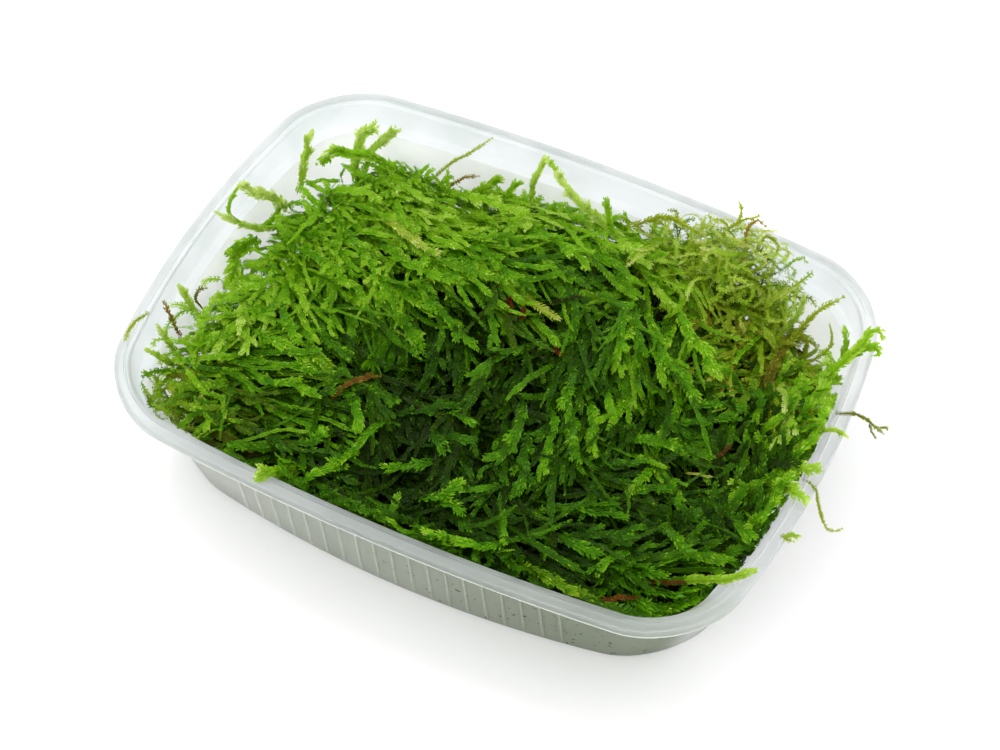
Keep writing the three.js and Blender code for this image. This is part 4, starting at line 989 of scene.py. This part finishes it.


# Shoots laid one by one on top of the heap: width, tone, brown share, length of side branches (0 for none),
# and route from root to tip, read on the plane of the tub's ledge
LAID = [
    (3.0, 0.60, 0.10, 0, [(-38, 20), (-29, 20), (-21, 20.6), (-14, 21.5), (-7, 21), (0, 19)]),
    (2.6, 0.80, 0.45, 0, [(-9, 22), (-4, 20.5), (1, 18.5), (6, 17), (10, 16)]),
    (2.8, 0.56, 0.04, 5, [(-26, 31), (-20, 29), (-13.5, 26.4), (-7.5, 23.5), (-2, 21.5)]),
    (2.0, 0.44, 0.04, 0, [(4.4, 29.3), (9, 24.4), (13.3, 18.4), (15.8, 11)]),
    (2.4, 0.50, 0.04, 0, [(10.6, 23.7), (12.2, 26.3), (16.2, 28.6), (20.5, 27.8), (25.2, 28.6)]),
    (2.4, 0.56, 0.08, 0, [(8, 39), (11, 37), (15.5, 34.8), (20, 32.5), (24.5, 31)]),
    (2.4, 0.60, 0.04, 5, [(23.4, 30), (24, 24.4), (26, 18), (27.7, 12.4), (29.4, 6.8)]),
    (2.8, 0.62, 0.04, 6.5, [(25, 31), (27, 25), (31.5, 18), (33.5, 13), (35, 7.8), (36, 1.3), (35.6, -9.6)]),
    (3.6, 0.68, 0.03, 6, [(35, 34.6), (37, 30.6), (41.3, 27), (46.5, 24), (51, 20), (54.4, 17.6)]),
    (3.0, 0.68, 0.03, 4, [(-6, 54), (4, 51), (11, 48), (17, 45), (23, 42)]),
    (2.6, 0.56, 0.04, 5, [(-18, 38.5), (-11, 39.5), (-4, 39.6), (4.5, 38), (9, 35)]),
    (3.0, 0.68, 0.04, 5, [(-37, 41), (-31, 43), (-25, 44), (-18, 44), (-12, 43)]),
    (2.0, 0.60, 0.03, 0, [(-24, 22), (-21, 18), (-17.7, 14), (-12.7, 10)]),
    (3.0, 0.60, 0.04, 4, [(-40, 9), (-28.5, 7.6), (-22, 6.8), (-16.8, 4.3), (-10.8, 0.8), (-4, -1.8)]),
    (2.2, 0.63, 0.04, 4, [(-9, 12), (-6.5, 9), (-4, 6), (-1, 2)]),
    (2.6, 0.63, 0.08, 0, [(1.4, 14.8), (6, 12.7), (10.4, 10.5), (13, 8.5)]),
    (2.6, 0.58, 0.04, 5, [(9.2, 9.6), (5.4, 4.5), (1.1, -0.5), (-0.6, -5), (-1.4, -12)]),
    (2.0, 0.62, 0.06, 0, [(15, 3.7), (13, 0), (11.2, -3.6), (10, -8), (9, -12)]),
    (2.0, 0.60, 0.04, 0, [(-42, 14), (-36, 7.7), (-32.8, 3.6), (-28, -1)]),
    (3.2, 0.62, 0.05, 4, [(-36, 2), (-30, 0), (-25, -2.5), (-22.4, -4.3), (-16.5, -8.5)]),
    (1.4, 0.92, 0.20, 0, [(-28, -4.8), (-25, -5.5), (-21.8, -6.3), (-19.5, -7.5)]),
    (2.6, 0.52, 0.06, 5, [(-28, -26), (-24, -25.4), (-20, -24.7), (-15, -25)]),
    (3.2, 0.68, 0.02, 0, [(-29, -27), (-26.5, -28.5), (-24, -31), (-21.5, -34.5), (-19, -38)]),
    (3.6, 0.70, 0.02, 3, [(-13, -30), (-16, -33), (-17, -37), (-17.5, -42), (-19, -47), (-22, -51)]),
    (2.4, 0.48, 0.04, 4, [(-15, -30), (-11, -26.5), (-5, -22), (0, -18)]),
    (3.6, 0.64, 0.02, 0, [(2, -37), (-3, -41), (-7, -43.3), (-9.6, -44)]),
    (3.6, 0.56, 0.02, 0, [(-4, -29), (-0.5, -31), (3, -34)]),
    (3.0, 0.54, 0.02, 0, [(-1, -30), (3, -28.5), (8, -27)]),
    (3.0, 0.62, 0.02, 0, [(-3, -22), (1, -22), (5, -23)]),
    (3.0, 0.62, 0.05, 4, [(13, -10), (13.6, -12.6), (15.4, -16.3), (15.7, -22), (16, -27), (13, -31)]),
    (2.2, 0.58, 0.04, 0, [(18, -30), (15, -31.5), (13.5, -34), (13.6, -37)]),
    (3.0, 0.52, 0.03, 5, [(17.8, -17.7), (20, -24.3), (23, -31), (25, -37)]),
    (2.4, 0.64, 0.03, 3, [(19, -7), (20.8, -10.4), (23.6, -14.8), (24.6, -20.8), (26, -26.6), (27, -31)]),
    (2.8, 0.62, 0.04, 5, [(23, 5), (20.8, 1.5), (22.3, -5), (26.3, -11), (30, -17), (32, -22)]),
    (2.6, 0.70, 0.02, 0, [(29.7, 1.8), (31.5, -0.5), (33, -3), (35.6, -6.4)]),
    (2.8, 0.64, 0.02, 4, [(27, -2.6), (31, -7.4), (33.4, -13.3), (35, -17.7)]),
    (3.8, 0.58, 0.03, 0, [(38, 19), (41, 15.5), (44.3, 14.6), (47.6, 12), (51.5, 8.4)]),
    (1.8, 0.64, 0.04, 3, [(60, 39), (58.4, 35), (56.6, 30.7), (55, 24), (52, 18)]),
    (2.6, 0.50, 0.03, 4, [(49, 4), (53, 7), (57, 10), (62, 11.7), (67, 12)]),
    (2.6, 0.52, 0.03, 4, [(48, -2), (53, 1.4), (57, 4), (61, 7), (63.4, 11)]),
    (2.8, 0.60, 0.04, 3, [(38, -11), (41.5, -9.4), (46, -8), (50, -7), (54, -7), (57, -8.5)]),
    (2.4, 0.54, 0.04, 0, [(38, -20), (41, -18), (45, -16), (48, -14)]),
    (3.2, 0.70, 0.02, 3, [(51, -13), (50.6, -15.5), (49.4, -19.4), (49, -24.6)]),
    (3.0, 0.52, 0.03, 5, [(30, -38), (34.6, -36), (39, -34), (44, -33), (50, -30.6)]),
    (2.6, 0.52, 0.03, 4, [(47, -26), (50, -23), (54, -20), (60, -18.6)]),
    (2.6, 0.62, 0.08, 4, [(79, -1), (77.5, -4.4), (74.6, -8.7), (72, -10.6), (71.5, -16.3)]),
    (4.0, 0.70, 0.02, 5, [(77, 16), (79, 24), (79, 32), (79, 40)]),
    (3.0, 0.62, 0.02, 4, [(79, 0), (82, 9), (82, 17), (80.5, 26)]),
    (3.0, 0.64, 0.02, 4, [(79, -24), (81, -15), (81, -7), (82, 1)]),
    (3.0, 0.60, 0.06, 4, [(70, 6), (73, 14), (74, 21), (73, 28)]),
    (3.0, 0.46, 0.55, 3, [(66, 18), (65, 27.4), (65, 35), (67, 43)]),
    (2.4, 0.68, 0.03, 0, [(20, -34), (21, -38), (23, -43), (26, -47.7), (28.6, -51.4)]),
    (2.0, 0.62, 0.03, 0, [(20.5, -34), (17.5, -37.8), (14, -40.7), (10, -42)]),
    (3.8, 0.70, 0.02, 0, [(29, -52), (24, -53.6), (19, -55.3), (13.5, -56.2), (9, -57.5)]),
    (3.6, 0.66, 0.02, 4, [(4, -49), (6, -47), (8.4, -44.6), (9, -40)]),
    (3.4, 0.64, 0.02, 3, [(6, -49), (9, -47), (12, -46.5), (15, -48)]),
    (2.4, 0.68, 0.05, 0, [(-0.3, -57), (-1, -53), (-1.7, -49.5)]),
    (2.8, 0.58, 0.06, 3, [(-20, -56), (-14, -57), (-8, -57.3), (-0.6, -57.5)]),
    (2.6, 0.52, 0.04, 3, [(27, -42), (32, -38.6), (37.6, -34), (43.6, -30.4), (48, -28)]),
    (3.2, 0.62, 0.18, 3, [(30, -55.5), (36, -55), (41, -54.7), (46.7, -56), (54, -55.4)]),
    (3.6, 0.58, 0.02, 0, [(38, -42), (41, -43), (45, -43.5), (50, -43.6)]),
    (2.6, 0.63, 0.03, 4, [(56, -38), (55, -40.6), (52, -44.5), (52, -49)]),
    (3.6, 0.54, 0.02, 0, [(58, -45), (62, -43.6), (67, -41.8)]),
    (4.2, 0.60, 0.02, 3, [(60, -49), (66, -47.8), (70, -46), (73, -43.3), (77, -39.5)]),
    (3.0, 0.60, 0.05, 4, [(58, -29), (61.4, -30.4), (65, -32), (70, -33.6), (74, -33.4), (79, -31)]),
    (3.2, 0.60, 0.04, 4, [(-58, -30), (-54, -30), (-50, -29), (-45, -27), (-39, -26), (-34.4, -26.5)]),
    (2.8, 0.60, 0.04, 3, [(-55, -33.5), (-49.5, -34), (-43, -32), (-38, -32), (-33, -33)]),
    (4.0, 0.58, 0.14, 3, [(-49, -18), (-44.7, -19), (-40.5, -21.6), (-36, -24), (-33, -28)]),
    (2.8, 0.60, 0.03, 3, [(-57, -8), (-55, -13), (-50, -17), (-46, -20)]),
    (3.4, 0.62, 0.05, 3, [(-62, -21), (-56, -22), (-50, -22), (-42, -24)]),
    (1.3, 0.66, 0.10, 0, [(-49, -57), (-44, -53), (-40, -48.5), (-36, -45), (-30, -43)]),
    (3.4, 0.64, 0.02, 0, [(-28, -48), (-28, -45), (-27, -41)]),
    (3.2, 0.70, 0.02, 0, [(-26, -58), (-24, -55), (-21, -51), (-17, -48)]),
    (2.8, 0.58, 0.03, 4, [(-67, 7), (-64, 7), (-58.5, 7), (-50, 5.5), (-44, 2)]),
    (3.0, 0.76, 0.35, 3, [(-48, 27), (-45, 26), (-41, 24.7), (-33, 22.5), (-28, 21)]),
    (2.8, 0.60, 0.03, 4, [(-46, 20), (-40, 17.6), (-34.7, 15.6), (-27.4, 15.5), (-21, 14.8)]),
    (2.8, 0.58, 0.03, 4, [(-60, 21), (-55.5, 18.9), (-48.8, 15.4), (-38, 8), (-32, 2)]),
    (2.6, 0.64, 0.05, 4, [(-56, 36), (-50, 37), (-44, 37), (-38, 36)]),
    (2.6, 0.66, 0.04, 4, [(-66, 27), (-62, 30), (-57, 32), (-51, 32)]),
    (1.6, 0.52, 0.85, 2, [(-31, -34), (-30.5, -31), (-30, -28), (-28, -24), (-25.5, -21.5), (-23, -20)]),
    (1.8, 0.34, 1.00, 0, [(-6, 19.5), (-5, 17), (-3.5, 14.5), (-2, 12)]),
    (1.6, 0.32, 1.00, 0, [(-1.5, 11), (0, 11.5), (0.6, 13.5), (-0.3, 15.5)]),
    (1.8, 0.34, 0.95, 0, [(12, 8.4), (13.4, 7), (15, 6.5)]),
    (1.2, 0.40, 0.90, 0, [(59, -8), (61.5, -6.5), (63.6, -5), (65, 0)]),
    (1.0, 0.90, 0.60, 0, [(58, -13), (61, -12), (65, -11)]),
    (1.6, 0.42, 0.85, 0, [(62, -46.5), (66, -44.5), (70, -42.5), (74, -40)]),
    (2.0, 0.44, 0.90, 0, [(52, -56), (56.4, -55), (59, -53), (63, -50.5)]),
    (3.4, 0.50, 0.05, 0, [(52, -57), (60, -56), (67, -54), (72, -50.5)]),
    (4.2, 0.58, 0.03, 3, [(60, -52), (66, -51.5), (72, -48.5), (77, -43)]),
    (3.2, 0.46, 0.10, 0, [(46, -57.5), (54, -58), (61, -57), (68, -54.5)]),
    (4.0, 0.60, 0.03, 0, [(62, -50), (65, -52), (68.5, -53.5), (71, -53)]),
    (2.8, 0.66, 0.05, 3, [(-58, -30), (-63, -33), (-68, -36), (-73, -40)]),
    (2.8, 0.64, 0.06, 3, [(-60, -22), (-65, -26), (-70, -30), (-75, -33)]),
    (2.6, 0.66, 0.08, 3, [(-60, -12), (-64, -17), (-69, -22), (-74, -25)]),
    (2.8, 0.62, 0.15, 3, [(-56, -38), (-61, -42), (-66, -45), (-71, -47)]),
    (2.6, 0.60, 0.25, 3, [(-52, -45), (-57, -48), (-62, -50), (-67, -50)]),
    (2.4, 0.70, 0.04, 3, [(-68, -34), (-71, -28), (-73, -22), (-73, -15)]),
    (2.4, 0.68, 0.04, 3, [(-64, -40), (-68, -36), (-71, -33), (-75, -33)]),
    (2.6, 0.66, 0.04, 3, [(-62, -4), (-66, -9), (-70, -14), (-74, -17)]),
    (2.4, 0.62, 0.20, 3, [(-60, -44), (-65, -43), (-70, -42), (-74, -44)]),
]


def laid_shoots(moss):
    """The listed shoots, laid on top of the heap. Each point is pushed along its line of sight, in a few
    rounds, to where the shoot lies on the heap, its root sunk in and its tip free."""
    rounds = 4
    for width, tone, brown, reach, route in LAID:
        flat = through(np.array([(x, y, 0) for x, y in route]), STATIONS)
        s = np.linspace(0, 1, STATIONS)
        over = rng.uniform(1.0, 1.8) - 3.0 * (1 - np.minimum(3 * s, 1)) ** 2
        points = flat.copy()
        for _ in range(rounds):
            points[:, 2] = heap_top(points[:, 0], points[:, 1]) + over
            points = seen_at(np.column_stack([flat[:, :2], points[:, 2]]))
        axes = inside_tub(points, FRINGE_MARGIN)[None]
        roll = np.array([rng.normal(0, 0.25)])
        middle = flat[STATIONS // 2]
        shades = np.array([[tone + 0.4 * painted_light_and_tone(middle[0], middle[1]), brown]])
        size = np.array([width / LAID_WIDTH])
        grow(moss, axes, roll, shades, size, rng.normal(35, 5))
        if reach:
            branch(moss, axes, roll, shades, size, reach)


def turned_to_eye(axes):
    """Roll at which a shoot's flat side faces the eye at the middle of its length."""
    tangent, up = frames_along(axes, np.zeros(len(axes)))
    middle = axes.shape[1] // 2
    up, view = up[:, middle], unit(EYE - axes[:, middle])
    side = np.cross(up, tangent[:, middle])
    return np.arctan2((side * view).sum(-1), (up * view).sum(-1))


# Tone and brown share of each look. Leafy looks are clad to their tips, all but the young ones with side
# branches; the others are a bare stem with a few worn leaves.
LOOKS = {"fresh": (0.67, 0.08), "young": (0.77, 0.08), "pale": (0.87, 0.12), "olive": (0.73, 0.46),
         "dull": (0.54, 0.5), "brown": (0.6, 0.85)}
LEAFY = ("fresh", "young", "pale")


def strands(moss):
    """The strands that stick out, then the twigs that hang on them."""
    for name, look, width, route in STRANDS + TWIGS:
        axes = through(seen_at(route), STATIONS)[None]
        owner = np.array([PIECES.index(name)])
        roll = turned_to_eye(axes) + rng.normal(0, 0.25)
        tone, brown = LOOKS[look]
        shades = np.array([[tone + rng.uniform(-0.05, 0.05), brown + rng.uniform(-0.03, 0.05)]])
        if look in LEAFY:
            size = np.array([width / LEAFY_WIDTH])
            grow(moss, axes, roll, shades, size, 26, 0.45, owner=owner)
            if look != "young":
                branch(moss, axes, roll, shades, size, 1.3 * width, owner)
        else:
            size = np.array([width / BARE_WIDTH])
            grow(moss, axes, roll, shades, size, 28, 0.9, core=1.0, owner=owner)


# The body of a wad: points round it, its foot, how deep it lies under the heap's top, its distance to the
# next body, and its rings from the foot up, each with its share of the radius and of the height
BODY_COLUMNS = 60
BODY_FOOT = 1.4
BODY_DEPTH = 6.5
BODY_GAP = 0.15
BODY_RINGS = [(0.3, 0), (0.9, 0), (1, 0.12), (1, 0.5), (1, 0.85), (0.97, 1), (0.85, 1), (0.7, 1), (0.5, 1),
              (0.3, 1), (0.12, 1)]


def wad_bodies(moss):
    """The matted old moss under the shoots: for each wad a closed lump, whose outline is the cell of places
    nearest its middle, cut by the heap's edge, and whose top lies some millimetres under the heap's."""
    angle = np.linspace(0, 2 * np.pi, BODY_COLUMNS, endpoint=False)
    ray = np.stack([np.cos(angle), np.sin(angle)], -1)
    tries = np.linspace(1, 90, 200)
    for index, middle in enumerate(WAD_MIDDLES):
        others = np.delete(WAD_MIDDLES, index, 0) - middle
        towards = ray @ others.T
        halfway = (others ** 2).sum(1) / 2 / np.maximum(towards, 1e-6)
        to_border = np.where(towards > 1e-6, halfway, 1e3).min(1)
        places = middle + ray[:, None] * tries[None, :, None]
        limit = np.interp(places[..., 1], [-35, 0], [0.96, 0.89])
        beyond = heap_reach(places[..., 0], places[..., 1]) > limit
        to_edge = tries[np.where(beyond.any(1), beyond.argmax(1), -1)]
        radius = np.minimum(to_border - BODY_GAP, to_edge)
        rings = []
        for share, level in BODY_RINGS:
            place = middle + ray * (radius * share)[:, None]
            wave = 1.4 * np.sin(0.9 * place[:, 0]) * np.sin(0.8 * place[:, 1] + 1) * (level == 1)
            top = heap_top(place[:, 0], place[:, 1]) - BODY_DEPTH + wave
            rings.append(np.column_stack([place, BODY_FOOT + (top - BODY_FOOT) * level]))
        points, faces = closed_rings(inside_tub(np.stack(rings), BODY_MARGIN))
        x, y, z = points.T
        # Painted light: on the left, where the heap is thin and lit through the tub, the tops are paler. The
        # sides low down are paler too.
        tone = 0.2 + painted_light_and_tone(x, y) + 0.18 * (x < -30)
        tone = np.where(z < 0.6 * HEAP_PLATEAU, 0.54, tone) + 0.05 * np.sin(3 * x) * np.sin(2.7 * y)
        brown = 0.45 + 0.15 * np.sin(2.1 * y + z)
        shades = np.clip(np.column_stack([tone, brown]), 0.02, 0.98)
        moss.gather(points[None], shades[None], faces, np.array([index]))


# Scene

def place_camera():
    """The camera stands at the photograph's viewing angle, turned a little about its own line of sight."""
    azimuth, elevation, roll = np.radians([CAMERA_AZIMUTH, CAMERA_ELEVATION, CAMERA_ROLL])
    back = Vector((math.sin(azimuth) * math.cos(elevation), -math.cos(azimuth) * math.cos(elevation),
                   math.sin(elevation)))
    right = Vector((math.cos(azimuth), math.sin(azimuth), 0))
    up = back.cross(right)
    turned_right = right * math.cos(roll) + up * math.sin(roll)
    turned_up = up * math.cos(roll) - right * math.sin(roll)
    camera = bpy.data.objects.new("camera", bpy.data.cameras.new("camera"))
    bpy.context.scene.collection.objects.link(camera)
    camera.data.sensor_width = SENSOR_WIDTH
    camera.data.lens = LENS
    camera.data.clip_start = 0.01
    camera.data.clip_end = 20
    turned = Matrix((turned_right, turned_up, back)).transposed().to_4x4()
    turned.translation = (Vector(CAMERA_TARGET) + back * CAMERA_DISTANCE) * MM
    camera.matrix_world = turned
    bpy.context.scene.camera = camera


SURROUND_STRENGTH = 1.35

# Lamps: name, place and size in metres, and power
LAMPS = [("key", (-0.35, 0.3, 0.9), 0.4, 5.0), ("fill", (0.3, -0.6, 0.8), 0.6, 1.0)]
FLOOR_SIZE = 3000


def light_studio():
    """Plain soft studio light: an even pale surround, a broad key from behind on the left, and a weaker one
    from the front."""
    world = bpy.data.worlds.new("pale_surround")
    bpy.context.scene.world = world
    world.use_nodes = True
    background = world.node_tree.nodes["Background"].inputs
    background["Color"].default_value = (1, 1, 1, 1)
    background["Strength"].default_value = SURROUND_STRENGTH
    for name, place, size, power in LAMPS:
        lamp = bpy.data.objects.new(name, bpy.data.lights.new(name, "AREA"))
        lamp.data.size = size
        lamp.data.energy = power
        lamp.location = place
        lamp.rotation_euler = (-Vector(place)).to_track_quat("-Z", "Y").to_euler()
        bpy.context.scene.collection.objects.link(lamp)
    bpy.context.scene.view_settings.view_transform = "Standard"


def lay_floor():
    """A pale board, a square 3 m on a side, at the height of the tub's base."""
    corners = FLOOR_SIZE / 2 * np.array([(-1, -1, 0), (1, -1, 0), (1, 1, 0), (-1, 1, 0)], float)
    floor = make_piece("floor", corners, np.array([(0, 1, 2, 3)]), matt_board(), smooth=False)


def build_tub():
    """The tub as one closed skin, sharp only where its moulding is. Where the plastic is thick or seen edge
    on, at the ribs and the skirt's lower edge, less light passes and it looks whiter; the flange, stretched
    thin in the mould, is the clearest."""
    rings, kinds = tub_rings()
    points, faces = closed_rings(rings)
    walls = milky_polypropylene("milky_polypropylene", 0.4, 0.5, "#f1f3f1", "#fbfcfb")
    ribs = milky_polypropylene("thick_milky_polypropylene", 0.15, 0.5, "#f0f2ec", "#f6f8f4")
    flange = milky_polypropylene("flat_milky_polypropylene", 0.95, 0.25, "#d8dddd", "#e3e6e7")
    tub = make_piece("ribbed_tub", points, faces, walls)
    tub.data.materials.append(ribs)
    tub.data.materials.append(flange)
    tub.data.set_sharp_from_angle(angle=math.radians(40))
    tub.data.polygons.foreach_set("material_index", skin_slots(kinds, rings.shape[1]))
    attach(tub, "root")
    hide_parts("tub")


# Layers of scattered shoots, from the bottom up: count, lengths, depths under the heap's top, tone, size,
# wander, branched share, spread and distance between leaves
# Their tones darken from the top down: older moss lies deeper, and the darkness deep in the heap is partly
# painted shade
LAYERS = [
    (440, (14, 26), (-5.0, -3.0), 0.26, 1.2, 0.7, 0, 1.0, 1.3),
    (500, (14, 28), (-3.2, -1.2), 0.34, 0.95, 0.5, 0.2, 0.97, 0.7),
    (330, (18, 34), (-1.5, 0.3), 0.44, 0.85, 0.4, 0.3, 0.97, LEAF_PITCH),
]
TOP_LAYER = (130, (14, 30), (0.2, 1.6), 0.56, 0.52, 0.6, 0, 0.95, 0.85)


def build_moss():
    """The heap, layer over layer, and the strands, then one mesh for each piece."""
    moss = Moss()
    wad_bodies(moss)
    for values in LAYERS:
        layer(moss, *values)
    locks(moss, 84, 6, 0.5, 0.3)
    layer(moss, *TOP_LAYER)
    edge_shoots(moss, 360)
    upright_shoots(moss, 130)
    for values in TANGLES:
        curls(moss, *values)
    laid_shoots(moss)
    strands(moss)
    material = wet_moss_leaf()
    for index, name in enumerate(PIECES):
        points, faces, shades = moss.mesh(index)
        piece = make_piece(name + "_leaves", points, faces, material, shades, smooth=False)
        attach(piece, "root")
        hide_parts(name)


place_camera()
light_studio()
lay_floor()
build_tub()
build_moss()
